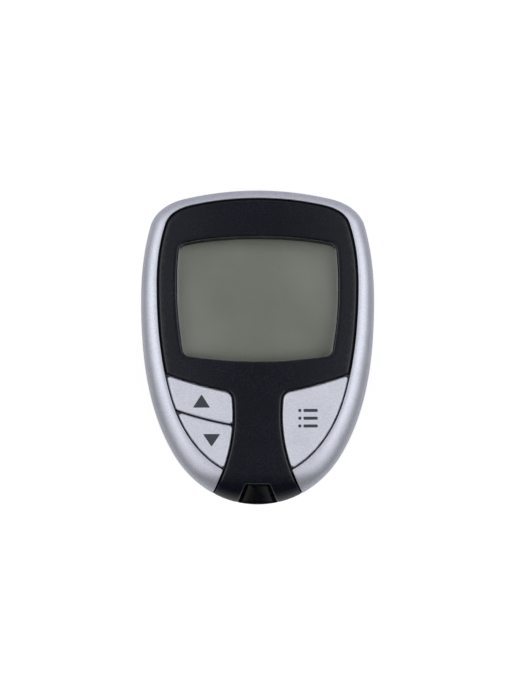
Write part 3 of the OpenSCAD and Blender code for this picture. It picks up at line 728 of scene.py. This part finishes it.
rows = [profile_row(inset(case_line, d), PART_Z + z, 0)
        for d, z in ((0.15, 0), (0.03, 0.12), (0, 0.5))]
for share in 1 - np.cos(np.radians(np.linspace(0, 76, 18))):
    rows.append(profile_row(case_line + reach * share, -edge_drop(share, edge_width), 1))
for e in RIM_R * (1 - np.cos(EDGE_TURNS[::-1])):
    drop = edge_drop(1 - e / reach_w, edge_width) + round_off(e, RIM_R)
    rows.append(profile_row(ring_line - reach * (e / reach_w)[:, None], -drop, 1))
wall_line = inset(case_line, WALL_T)
rows += [profile_row(ring_line, -LEDGE, 1), profile_row(wall_line, -LEDGE, 1),
         profile_row(wall_line, PART_Z, 0)]
print("ring profile:", len(rows), "rows; the edge is", edge_width.min().round(2), "to",
      edge_width.max().round(2), "mm wide")

# %% [markdown]
# The rows are closed outlines. Each is now cut where the column's edge crosses it, with
# a few close points before the cut for a soft corner. The cut ends are closed with flat
# caps.


# %% The ring's open ends
def cut_at_column(row, soft):
    """The stretch of an outline from the column's left edge over the top to its right."""
    half = row[: len(row) // 2 + 1]
    beyond = half[:, 0] - column_x(half[:, 1])
    k = np.argmax((beyond < 0) & (half[:, 1] < -20))
    last = k - 1 + beyond[k - 1] / (beyond[k - 1] - beyond[k])
    step = np.linalg.norm(half[k, :2] - half[k - 1, :2])
    from_end = np.array([0.9, 0.45, 0.3, 0.18, 0.09, 0.03, 0])
    places = np.r_[np.linspace(0, last - 1.6 / step, 190), last - from_end / step]
    right = np.c_[[np.interp(places, np.arange(len(half)), v) for v in half.T]].T
    if soft:
        right[-7:, 2] -= round_off(from_end, 0.2)
    return np.vstack([right[:0:-1] * (-1, 1, 1, 1), right])


strips = [cut_at_column(r, 2 < i < len(rows) - 3) for i, r in enumerate(rows)]
n, m = len(strips[0]), len(strips)
ring_faces = []
for r in range(m):
    a, b = r * n, (r + 1) % m * n
    ring_faces += [(a + i + 1, a + i, b + i, b + i + 1) for i in range(n - 1)]
for end in (0, n - 1):
    corners = [Vector((x, y, z + FACE_TOP * laid)) for x, y, z, laid in (t[end] for t in strips)]
    ring_faces += [tuple(k * n + end for k in t) for t in tessellate_polygon([corners])]
strips = np.vstack(strips)
ring = solid_object("silver_ring", [(strips[:, :3], ring_faces, strips[:, 3] > 0.5)])
face_outwards(ring)
dress(ring, silver_paint, "case", ["front_bezel"])

# %% [markdown]
# ## The black face
#
# One ABS moulding carries the border round the display, the column between the keys and
# the nose with the recess for the strip. Its outline is read from the solid down to the
# nose and drawn from the formulas below that, because there the surface rolls over into
# the side wall. The underside is stepped: high where the window's flange sits, lower
# round the display, and down to the joint line under the nose.


# %% Outline of the black face
FACE_GAP, PORT_WALL_Y, PORT_FLOOR_Z = 0.45, -33.3, 14.6
SLOT_W, SLOT_H = 6.4, 1.0  # room for a strip 6 mm wide and up to 0.5 mm thick


def mouth_x(y):
    """Half the width of the recess, which widens towards the end."""
    return 3 + 0.41 * (PORT_WALL_Y - y)


face_cut = turned(evenly(section("fascia", 19.7)[0], 0.25))
face_cut = np.roll(face_cut, -np.argmax(face_cut[:, 1] - np.abs(face_cut[:, 0])), 0)
face_cut = np.roll(face_cut, -np.argmin(np.abs(face_cut[:60, 0])), 0)
right_side = face_cut[: np.argmax(face_cut[:, 1] < -31)]
ys = np.arange(-31, -40, -0.1)
column_edge = np.c_[column_x(ys) - FACE_GAP, ys]
column_edge = column_edge[inside(column_edge, [case_line])]
front = case_line[: len(case_line) // 2 + 1]
front = front[(front[:, 0] < column_edge[-1, 0]) & (front[:, 1] < -30)]
front = front[front[:, 0] > mouth_x(front[:, 1])]
ys = np.arange(front[-1, 1] + 0.1, PORT_WALL_Y, 0.25)
recess_edge = np.vstack([np.c_[mouth_x(ys), ys], [[3, PORT_WALL_Y]]])
half_face = np.vstack([right_side, column_edge, front, recess_edge])
face_line = soften(np.vstack([half_face, half_face[::-1] * (-1, 1)]), 0.13, 0.28)
opening_line = evenly(inset(turned(window_line), -0.1), 0.28)
print("black face:", len(face_line), "outline points,", np.ptp(face_line, axis=0), "mm")


# %% [markdown]
# The face's edge is rounded along its gaps, but not along the silhouette, where it runs
# on into the side wall. Extra points follow the silhouette at small insets, so that the
# rolled edge comes out as smooth as on the ring.


# %% The black face and its hidden plate
def face_lift(p):
    """The surface against the crowned face: it rolls off at the nose."""
    d = distance(p, [(case_line, True)])
    return np.where(p[:, 1] < -30.5, -edge_drop(d / EDGE_W, EDGE_W), 0)


def face_under(p):
    by_window = distance(p, [(opening_line, True)]) < 1.2
    by_display = (np.abs(p[:, 0]) < 21.3) & (p[:, 1] > -5.7) & (p[:, 1] < 29.3)
    under = np.where(by_window, 21.55, np.where(by_display, 19.6, PLATE_Z))
    return np.where(p[:, 1] < -31.4, PART_Z, under)


in_front = (distance(face_line, [(case_line, True)]) < 0.12) & (face_line[:, 1] < -34)
pairs = np.stack([face_line, np.roll(face_line, -1, 0)], 1)
gap_lines = [(pair, False) for pair in pairs[~(in_front | np.roll(in_front, -1))]]
gap_lines.append((opening_line, True))
display_box = np.array([[21.25, -5.65], [21.25, 29.25], [-21.25, 29.25], [-21.25, -5.65]])
steps_under = [inset(turned(opening_line), d) for d in (-1.16, -1.24)]
steps_under += [evenly(inset(turned(display_box), d), 0.8) for d in (0.0, -0.1)]
steps_under += [np.c_[np.linspace(-12, 12, 60), np.full(60, y)] for y in (-31.35, -31.45)]
roll_lines = [inset(case_line, d) for d in
              (0.02, 0.06, 0.12, 0.22, 0.35, 0.52, 0.73, 1, 1.35, 1.8, 2.35, 3, 3.8, 4.65)]
roll_lines = [line[line[:, 1] < -29] for line in roll_lines]
face_shell = plate(face_line, face_lift, face_under, 0.42, [opening_line], gap_lines,
                   steps_under + roll_lines)
plate_line = inset(case_line, WALL_T + 0.15)
plate_line = plate_line[plate_line[:, 1] > -30.4]
key_hole = soften(inset(turned(section("key_memory", 17.25)[0]), 0.65), 0.2, 0.5)
well_hole = evenly(inset(turned(opening_line), -2.4), 0.8)
hidden = plate(evenly(plate_line, 0.8), flat_at(PLATE_Z + 1), flat_at(PLATE_Z), 0,
               [key_hole, key_hole * (-1, 1), well_hole], spacing=4, laid=(False, False))
slotted = solid_object("face_shell", [face_shell])
carve(slotted, "DIFFERENCE", [box_shell(-SLOT_W / 2, SLOT_W / 2, PORT_WALL_Y - 1, -29.3,
                                        PORT_FLOOR_Z, PORT_FLOOR_Z + SLOT_H)])
piece("black_face", shells_of(slotted) + [hidden], black_abs, "case", ["fascia"])

# %% [markdown]
# ## The floor of the strip recess
#
# The strip slides over a small glossy ramp between two grooves. It is the same black
# ABS, but from a polished part of the mould, so it mirrors the dark ceiling. Its colour
# is also painted darker than the face's, as painted shade of the deep recess.


# %% Floor of the strip recess
def recess_shape(side_gap, back_gap):
    """The recess seen from above, with this much room at its sides and its inner end."""
    low = case_line[: len(case_line) // 2 + 1]
    low = low[(low[:, 1] < -30) & (low[:, 0] < mouth_x(low[:, 1]) - side_gap)]
    top_y = PORT_WALL_Y - back_gap
    half = np.vstack([[[0, top_y], [mouth_x(top_y) - side_gap, top_y]], low])
    return turned(evenly(np.vstack([half, half[::-1] * (-1, 1)]), 0.25))


base = block(recess_shape(-0.1, -0.15), [(0.05, PART_Z), (0, 13.1), (0, 13.9)])
tongue = block(turned(soften(recess_shape(0.55, -0.1), 0.1, 0.25)), [
    (0.12, 13.8), (0.12, 14.2), (0.13, 14.4), (0.19, 14.52), (0.3, 14.58), (0.45, PORT_FLOOR_Z)])
piece("port_floor", [base, tongue], polished_abs_painted_darker, "case")

# %% [markdown]
# ## Window, gasket and display
#
# The window is a clear moulding with a flange that holds it from behind. It has to be
# one closed shell, because light bends at every surface it meets. Under it lie a black
# foam frame and the display.

# %% Window, gasket and display
lens = turned(window_line)
piece("window", [block(lens, [(-1.05, 20.25), (-1.1, 20.3), (-1.1, 21.45), (-1.05, 21.5),
                              (0, 21.5), (0, 21.92), (0.05, 22.03), (0.14, 22.08),
                              (0.25, 22.1)])],
      acrylic, "case", ["window_lens"])
glass = turned(evenly(section("lcd_panel", 18)[0], 0.8))
piece("display", [block(glass, [(0.1, 17.02), (0, 17.12), (0, 18.2), (0.1, 18.3)])],
      display_glass, "case", ["lcd_panel"])
foam_out, foam_in = section("display_gasket", 19.8)[:2]
foam_in = soften(foam_in, 0.2, 0.3)
foam = plate(evenly(foam_out, 0.6), flat_at(20.18), flat_at(18.32), 0.12, [foam_in], spacing=3,
             laid=(False, False))
piece("foam_frame", [foam], foam_rubber, "case", ["display_gasket"])

# %% [markdown]
# ## Keys
#
# Each key is a painted cap that stands a quarter of a millimetre above the face, with a
# flange under the face that stops it falling out and a plunger on the rubber dome. Its
# rounded edge catches a thin bright line, which the plate's radius gives.

# %% Keys
KEY_PROUD, KEY_R = 0.25, 0.38
KEYS = {"key_up": "up_key", "key_down": "down_key", "key_memory": "memory_key"}
for name, body in KEYS.items():
    cap = plate(soften(key_caps[name], 0.18, 0.26), flat_at(KEY_PROUD), flat_at(17.3), KEY_R)
    flange = block(turned(evenly(section(name, 17.25)[0], 0.6)),
                   [(0.1, 16.9), (0, 17.0), (0, 17.5), (0.1, 17.6)])
    plunger = block(turned(evenly(section(name, 16.5)[0], 0.5)),
                    [(0.2, 16.2), (0, 16.4), (0, 17.0)])
    piece(name.replace("key", "silver_key"), [cap, flange, plunger], key_paint_painted_paler, body,
          [name])

# %% [markdown]
# ## Printed marks
#
# The two small keys carry triangles, and the large key gets a plain list sign of three
# bars. Baked ink is about 0.02 mm thick, so each mark is a thin plate on the key's own
# surface, with softened corners.

# %% Printed marks
INK_T = 0.02


def mark(name, outlines, body):
    shells = [
        plate(soften(np.array(o, float), 0.16, 0.12), flat_at(KEY_PROUD + INK_T),
              flat_at(KEY_PROUD - 0.05), 0, spacing=0.5, laid=(True, True))
        for o in outlines
    ]
    piece(name, shells, key_ink, body)


def bar(x, y, w, h):
    return [(x, y), (x + w, y), (x + w, y - h), (x, y - h)]


mark("print_up", [[(-13.7, -11.35), (-11.6, -14.6), (-15.8, -14.6)]], "up_key")
mark("print_down", [[(-13.35, -21.05), (-9.15, -21.05), (-11.25, -24.15)]], "down_key")
BAR_YS = (-14.9, -16.8, -18.7)
mark("print_memory", [bar(11.2, y, 3.5, 0.75) for y in BAR_YS]
     + [bar(9.95, y, 0.75, 0.75) for y in BAR_YS], "memory_key")

# %% [markdown]
# ## The back half and the battery cover
#
# The back is a cup of dark grey ABS with a quarter-round edge. Its openings are cut with
# the Boolean helper: the battery bay, the dovetail for the cover, the label's recess, the
# screw holes and the socket's hole. The outline is stepped 0.4 mm past the quarter round,
# so the flat middle is shaded flat.


# %% Rows of the back and the cover's dovetail
BACK_R, REAR_TOP, DOOR_FACE = 5.5, 12.9, 0.2


def dovetail(gap, low_z, high_z):
    """The cover's section, run along Y: its front edge has a small chamfer."""
    low_w, high_w = 20.8 + gap, 21.5 + gap
    rings = []
    for y, d in ((-0.6 - gap, 0.2 if gap == 0 else 0), (-0.4 - gap, 0), (45, 0)):
        w = [low_w - 0.2, low_w, high_w, high_w - 0.15]
        z = [low_z + d, low_z + 0.2 + d / 2, high_z - 0.1, high_z]
        if gap:
            w, z = [low_w, low_w, high_w, high_w], [low_z, DOOR_FACE, high_z - 0.01, high_z]
        section_line = [(-a, y, b) for a, b in zip(w, z)] + [
            (a, y, b) for a, b in zip(w[::-1], z[::-1])]
        rings.append(np.array(section_line))
    return loft(rings[::-1])


SCREWS = [(0, -8.5), (17.5, 31.1), (-17.5, 31.1)]
back_angles = np.radians(np.linspace(0, 90, 22))
back_rows = [at(inset(case_line, BACK_R + 0.4), 0)]
back_rows += [at(inset(case_line, BACK_R * (1 - math.sin(a))), REAR_TOP * (1 - math.cos(a)))
              for a in back_angles]
print("back half:", len(back_rows), "rows of", len(case_line), "points")

# %% [markdown]
# The rows run up the outside, over the rim and down the inner wall to the floor. Pads for
# the screws and the box of the battery bay are joined on, then the openings are cut.

# %% Back half
rim_rows = [at(case_line, REAR_TOP - 0.15), at(inset(case_line, 0.15), REAR_TOP)]
cup_rows = back_rows[:-1] + rim_rows + [
    at(inset(case_line, d), z)
    for d, z in ((1.6, REAR_TOP), (1.6, 13.9), (2.2, 13.9), (2.2, 8), (3.2, 5), (5.2, 2.95))
]
back = solid_object("back_half", [loft(cup_rows)])
carve(back, "UNION", [box_shell(-22.2, 22.2, 0.7, 23.7, 2.6, 7.4)])
for x, y in SCREWS:
    carve(back, "UNION", [round_block(x, y, [(2.7, 1.5), (2.7, 13.5)])])
carve(back, "DIFFERENCE", [dovetail(0.15, -1, 1.75)])
carve(back, "DIFFERENCE", [box_shell(-21, 21, 1.9, 22.5, -1, 6.2)])
label_line = turned(soften(section("back_label", 0.2)[0], 0.1, 0.5))
carve(back, "DIFFERENCE", [block(inset(label_line, -0.1), [(-0.15, -0.1), (0, 0.12), (0, 0.3)])])
for x, y in SCREWS:
    carve(back, "DIFFERENCE", [round_block(x, y, [(2.25, -0.1), (2.1, 0.15), (2.1, 3.7),
                                                  (1.25, 3.7), (1.25, 14)])])
bore = round_block(0, 0, [(2.4, -3), (2.4, 3)])
bore = (np.c_[bore[0][:, 2] - 26.3, bore[0][:, 1] - 8, -bore[0][:, 0] + 9.8], bore[1])
carve(back, "DIFFERENCE", [bore])
dress(back, grey_abs, "case", ["rear_shell"])

# %% [markdown]
# ## The battery cover
#
# The cover continues the rounded back, so it is cut from the same solid. It slides in a
# dovetail. Its finger grip repeats one groove, so a small Geometry Nodes tree places the
# copies in a line; the strip's contact springs are laid out by the same tree.


# %% The tree that repeats a shape in a row
tree, given = open_tree("repeat_in_row", [("Count", "Int"), ("Step", "Vector"),
                                          ("Start", "Vector")])
line = add(tree, "GeometryNodeMeshLine", links={
    "Count": given["Count"], "Start Location": given["Start"], "Offset": given["Step"]})
copies = add(tree, "GeometryNodeInstanceOnPoints", links={
    "Points": line.outputs[0], "Instance": given["Geometry"]})
repeat_in_row = close_tree(tree, copies.outputs[0], given["Finish"])


def in_row(name, shells, material, count, step, start=(0, 0, 0)):
    """One shape repeated in a row, as a plain object."""
    obj = solid_object(name, shells)
    evaluate(obj, repeat_in_row, {
        "Count": count, "Step": [v * MM for v in step], "Start": [v * MM for v in start],
        "Finish": material})
    print(f"{name}: {count} copies, {len(obj.data.vertices)} points")
    return obj


print("tree:", repeat_in_row.name, "with", len(repeat_in_row.nodes), "nodes")

# %% [markdown]
# The groove's floor is narrower than its mouth, as the draft of a mould makes it. A sunk
# triangle shows which way the cover slides off.

# %% Battery cover
door = solid_object("battery_cover", [loft(back_rows)])
carve(door, "INTERSECT", [dovetail(0, DOOR_FACE, 1.6)])
turn = np.linspace(math.pi / 2, -math.pi / 2, 12)
round_end = np.c_[6.55 + 0.45 * np.cos(turn), 0.45 * np.sin(turn)]
groove = block(np.vstack([round_end, -round_end]), [
    (-0.2, -0.5), (-0.2, DOOR_FACE - 0.02), (0, DOOR_FACE + 0.12), (0.08, 0.58), (0.2, 0.65)])
grooves = in_row("grooves", [groove], grey_abs, 5, (0, 2, 0), (0, 22.45, 0))
carve(door, "DIFFERENCE", shells_of(grooves))
arrow = soften(np.array([(0, 20.4), (1.9, 17.6), (-1.9, 17.6)]), 0.15, 0.1)
carve(door, "DIFFERENCE", [block(turned(arrow), [(-0.1, -0.5), (-0.1, DOOR_FACE),
                                                 (0, DOOR_FACE + 0.1), (0.05, 0.5)])])
dress(door, grey_abs, "door", ["battery_door"])

# %% [markdown]
# ## Coin cells
#
# A coin cell is a pressed steel can with a rolled rim, an insulating ring and a smaller
# lid. The can faces the cover and is stamped with a plus sign. The profile is turned, and
# the sign is cut into it.

# %% Coin cells
CELL_Z, CELL_Y, CELL_PITCH = 1.8, 12.2, 21.2
CAN = [(9.1, 0), (9.55, 0.04), (9.85, 0.18), (9.97, 0.42), (10, 0.7), (10, 2.3), (9.9, 2.52),
       (9.6, 2.6), (9.0, 2.6), (8.85, 2.55), (8.75, 2.75), (8.6, 2.9), (8.5, 3.1), (8.3, 3.2)]
for side, name in ((-1, "coin_cell_left"), (1, "coin_cell_right")):
    x = side * CELL_PITCH / 2
    cell = solid_object(name.replace("coin_cell", "cell"), [
        round_block(x, CELL_Y, [(r, CELL_Z + z) for r, z in CAN], 96)])
    for w, h in ((4.4, 0.8), (0.8, 4.4)):
        carve(cell, "DIFFERENCE", [box_shell(x - w / 2, x + w / 2, CELL_Y - h / 2,
                                             CELL_Y + h / 2, 1, CELL_Z + 0.2)])
    dress(cell, cell_steel, "case", [name])

# %% [markdown]
# ## Screws
#
# The three screws are one turned shape with a cross recess. A tree puts a copy on each
# of three points and gives each its own turn, as screws stop where they get tight. The
# turns come from a fixed seed, so they are the same each time.

# %% Screws
screw = solid_object("screw", [round_block(0, 0, [
    (1.5, 0), (1.75, 0.08), (1.9, 0.3), (1.9, 1.1), (1.8, 1.4), (1.1, 1.42), (1.1, 15.0),
    (0.4, 15.3)])])
for w, h in ((2.2, 0.5), (0.5, 2.2)):
    carve(screw, "DIFFERENCE", [box_shell(-w / 2, w / 2, -h / 2, h / 2, -1, 0.7)])

tree, given = open_tree("copy_to_points", [("Shape", "Object"), ("Seed", "Int")])
shape = add(tree, "GeometryNodeObjectInfo", links={"Object": given["Shape"]})
turn = add(tree, "FunctionNodeRandomValue", {"data_type": "FLOAT"}, {3: math.pi / 2},
           {"Seed": given["Seed"]})
lean = add(tree, "ShaderNodeCombineXYZ", links={"Z": turn.outputs[1]})
copies = add(tree, "GeometryNodeInstanceOnPoints", links={
    "Points": given["Geometry"], "Instance": shape.outputs["Geometry"],
    "Rotation": lean.outputs[0]})
copy_to_points = close_tree(tree, copies.outputs[0], given["Finish"])
screws = solid_object("case_screws", [(np.array([(x, y, 2.3) for x, y in SCREWS]), [])])
evaluate(screws, copy_to_points, {"Shape": screw, "Seed": 3, "Finish": zinc})
bpy.data.objects.remove(screw)
dress(screws, zinc, "case", ["housing_screws"])

# %% [markdown]
# ## Strip contacts and the blank label
#
# The four gold springs are stamped strip, 0.2 mm thick: a tail, a rise, a beam and a
# dimple that presses on the test strip. The label is a blank silver film in its recess.

# %% Strip contacts and blank label
BEND = np.array([(-19.4, 13.6), (-19.4, 15.7), (-26, 15.7), (-28, 15.05), (-29, 15.5)])
run = np.r_[0, np.cumsum(np.linalg.norm(np.diff(BEND, axis=0), axis=1))]
path = np.c_[[np.interp(np.linspace(0, run[-1], 30), run, v) for v in BEND.T]].T
path[1:-1] = (path[:-2] + path[1:-1] + path[2:]) / 3
side_line = np.vstack([path, path[::-1] + (0.1, 0.18)])
strip = loft([np.c_[np.full(len(side_line), w), side_line] for w in (-0.35, 0.35)])
contacts = in_row("contacts", [strip], gold, 4, (1.3, 0, 0), (-1.95, 0, 0))
face_outwards(contacts)
dress(contacts, gold, "case", ["strip_contacts"])
piece("blank_label", [block(label_line, [(0.05, 0.12), (0, 0.15), (0, 0.3)])],
      label_film, "case", ["back_label"])

# %% [markdown]
# ## Solids that stay as they are
#
# The parts inside the case keep their solids and only get a finish.

# %% Finishes of the inner solids
FINISHES = {
    "lcd_reflector": (foil, "foil"),
    "lcd_frame": (natural_plastic, "white_plastic"),
    "zebra_strips": (dark_silicone, "dark_rubber"),
    "main_board": (solder_mask, "board"),
    "microcontroller": (chip_epoxy, "chip"),
    "crystal": (nickel, "plated_can"),
    "small_components": (tan_ceramic, "ceramic"),
    "buzzer": (black_nylon, "black_plastic"),
    "data_jack": (black_nylon, "black_plastic"),
    "strip_connector": (natural_plastic, "white_plastic"),
    "keypad_membrane": (silicone, "grey_rubber"),
    "dome_up": (silicone, "grey_rubber"),
    "dome_down": (silicone, "grey_rubber"),
    "dome_memory": (silicone, "grey_rubber"),
    "battery_springs": (nickel, "spring_steel"),
    "battery_clips": (nickel, "spring_steel"),
}
for name, (material, slot) in FINISHES.items():
    solids[name].data.materials.clear()
    solids[name].data.materials.append(material)
print("inner solids:", len(FINISHES))

# %% [markdown]
# ## Floor
#
# The meter lies on a white table, and its picture shows no more of the table than pure
# white and a soft shadow. So the table is a sheet a little larger than the view. To the
# camera it gives off some light of its own, which lifts it to white and keeps the shadow.
# In its reflections on the meter it is greyer, as the lower edge of the ring shows. Seen
# from below it is clear, so that the back can be looked at.

# %% Floor
FLOOR_W, FLOOR_L = 0.16, 0.19
TABLE_GREY, TABLE_LIFT, MIRRORED_LIFT = 0.55, 0.78, 0.2
floor_mesh = bpy.data.meshes.new("floor")
corners = [(x * FLOOR_W / 2, y * FLOOR_L / 2, 0) for x, y in ((-1, -1), (1, -1), (1, 1), (-1, 1))]
floor_mesh.from_pydata(corners, [], [(0, 1, 2, 3)])
floor = bpy.data.objects.new("floor", floor_mesh)
bpy.context.scene.collection.objects.link(floor)
floor.visible_diffuse = floor.visible_shadow = False  # the room's underside lights the back
table, tree, shader, place = start_material(
    "white_table", Base_Color=(TABLE_GREY, TABLE_GREY, TABLE_GREY, 1), Roughness=0.9,
    Emission_Color=(1, 1, 1, 1))
ray = add(tree, "ShaderNodeLightPath").outputs
mirrored = add(tree, "ShaderNodeMath", {"operation": "MAXIMUM"},
               links={0: ray["Is Glossy Ray"], 1: ray["Is Transmission Ray"]})
faint = add(tree, "ShaderNodeMath", {"operation": "MULTIPLY"}, {1: MIRRORED_LIFT},
            {0: mirrored.outputs[0]})
lift = add(tree, "ShaderNodeMath", {"operation": "MULTIPLY_ADD"}, {1: TABLE_LIFT},
           {0: ray["Is Camera Ray"], 2: faint.outputs[0]})
tree.links.new(lift.outputs[0], shader.inputs["Emission Strength"])
side = add(tree, "ShaderNodeNewGeometry")
clear = add(tree, "ShaderNodeBsdfTransparent")
both = add(tree, "ShaderNodeMixShader", links={
    0: side.outputs["Backfacing"], 1: shader.outputs[0], 2: clear.outputs[0]})
tree.links.new(both.outputs[0], tree.nodes["Material Output"].inputs["Surface"])
floor_mesh.materials.append(table)
print("table:", FLOOR_W, "by", FLOOR_L, "m")

# %% [markdown]
# ## Room
#
# A shiny shape is read by what it mirrors, so the room is drawn as a light that depends
# on the direction. ROOM gives its level by height: a pale floor, a dark band at the
# horizon, which draws the grey line along the ring's shoulder, and a bright ceiling. Three
# places differ. The wall past the top of the meter is an even grey. The side towards the
# strip port is unlit, so the lower ring is dark. So is a strip overhead, between the two
# softboxes, where the camera hangs: the black face mirrors it in the middle and gets its
# lighter sides from the ceiling beside it. To the camera itself, the room is white.

# %% Room
ROOM = [(-0.5, 0.9), (-0.35, 0.35), (-0.02, 0.25), (0.06, 0.12), (0.3, 0.13), (0.6, 0.5),
        (0.88, 1.15), (1.0, 0.95)]
ROOM_TINT = (0.97, 0.985, 1)
GREY_WALL, UNLIT, WHITE = (0.4, 0.405, 0.42, 1), (0.02, 0.02, 0.022, 1), (1, 1, 1, 1)
# each share goes from 0 to 1 while a coordinate of the direction goes from low to high
SHARES = [("height", "Z", -1, 1), ("far wall", "Y", 0.1, 0.42), ("near side", "Y", -0.08, -0.4),
          ("over table", "Z", 0, 0.1), ("middle", "aside", 0.2, 0.07),
          ("overhead", "Z", 0.82, 0.92)]
world = bpy.data.worlds.new("studio_room")
bpy.context.scene.world = world
world.use_nodes = True
tree = world.node_tree
tree.nodes.clear()
place = add(tree, "ShaderNodeTexCoord").outputs["Generated"]
way = add(tree, "ShaderNodeSeparateXYZ", links={0: place}).outputs
aside = add(tree, "ShaderNodeMath", {"operation": "ABSOLUTE"}, links={0: way["X"]})
known = {"Y": way["Y"], "Z": way["Z"], "aside": aside.outputs[0],
         "camera": add(tree, "ShaderNodeLightPath").outputs["Is Camera Ray"]}
for label, source, low, high in SHARES:
    known[label] = add(tree, "ShaderNodeMapRange", values={"From Min": low, "From Max": high},
                       links={"Value": known[source]}).outputs[0]
for label, operation, first, second in (("dark side", "MULTIPLY", "near side", "over table"),
                                        ("dark strip", "MULTIPLY", "middle", "overhead"),
                                        ("unlit", "MAXIMUM", "dark side", "dark strip")):
    known[label] = add(tree, "ShaderNodeMath", {"operation": operation},
                       links={0: known[first], 1: known[second]}).outputs[0]
ramp = add(tree, "ShaderNodeValToRGB", links={0: known["height"]})
for k, (rise, level) in enumerate(ROOM):
    stop = ramp.color_ramp.elements[k] if k < 2 else ramp.color_ramp.elements.new(1.0)
    stop.position = (rise + 1) / 2
    stop.color = [level * part for part in ROOM_TINT] + [1]
seen = ramp.outputs[0]
for share, colour in (("far wall", GREY_WALL), ("unlit", UNLIT), ("camera", WHITE)):
    seen = add(tree, "ShaderNodeMix", {"data_type": "RGBA"}, {7: colour},
               {0: known[share], 6: seen}).outputs[2]
back = add(tree, "ShaderNodeBackground", links={"Color": seen})
add(tree, "ShaderNodeOutputWorld", links={0: back.outputs[0]})
print("room:", len(ROOM), "levels,", len(tree.nodes), "nodes")

# %% [markdown]
# ## Softboxes
#
# Two large softboxes at the left and the right give the soft, even light of a product
# picture. They stand a little towards the strip port, which lights the keys more than the
# top of the face, and the right one is slightly stronger. Their reflections are the two
# pale bands along the sides of the ring.


# %% Softboxes
def softbox(name, place, width, height, power):
    """A lamp with a width and height in metres and a power in watts, aimed at the meter."""
    lamp = bpy.data.lights.new(name, "AREA")
    lamp.shape, lamp.size, lamp.size_y, lamp.energy = "RECTANGLE", width, height, power
    obj = bpy.data.objects.new(name, lamp)
    obj.location = place
    obj.rotation_euler = (-Vector(place)).to_track_quat("-Z", "Y").to_euler()
    obj.visible_camera = False
    bpy.context.scene.collection.objects.link(obj)
    print(f"{name}: {power} W from {place}")


softbox("box_left", (-0.46, -0.14, 0.6), 0.8, 0.54, 1.6)
softbox("box_right", (0.46, -0.14, 0.6), 0.8, 0.54, 1.65)

# %% [markdown]
# ## Camera
#
# The sides of the case don't show in the picture, so it was taken from straight above and
# from far away. The camera hangs 1.4 m over the table with a long lens, and its height
# follows from how many millimetres the view holds where the outline is widest, about
# 15 mm over the table.

# %% Camera
LENS_MM, SENSOR_MM, VIEW_H, SILHOUETTE_Z = 300, 36, 169.0, 15
AIM_X, AIM_Y = 0.1, 0.95
camera = bpy.data.cameras.new("camera")
camera.lens, camera.sensor_fit = LENS_MM, "VERTICAL"
camera.sensor_height = SENSOR_MM
camera_object = bpy.data.objects.new("camera", camera)
height = SILHOUETTE_Z + VIEW_H * LENS_MM / SENSOR_MM
camera_object.location = (AIM_X * MM, AIM_Y * MM, height * MM)
bpy.context.scene.collection.objects.link(camera_object)
bpy.context.scene.camera = camera_object
bpy.context.scene.view_settings.view_transform = "Standard"
print("camera height:", round(height, 1), "mm")
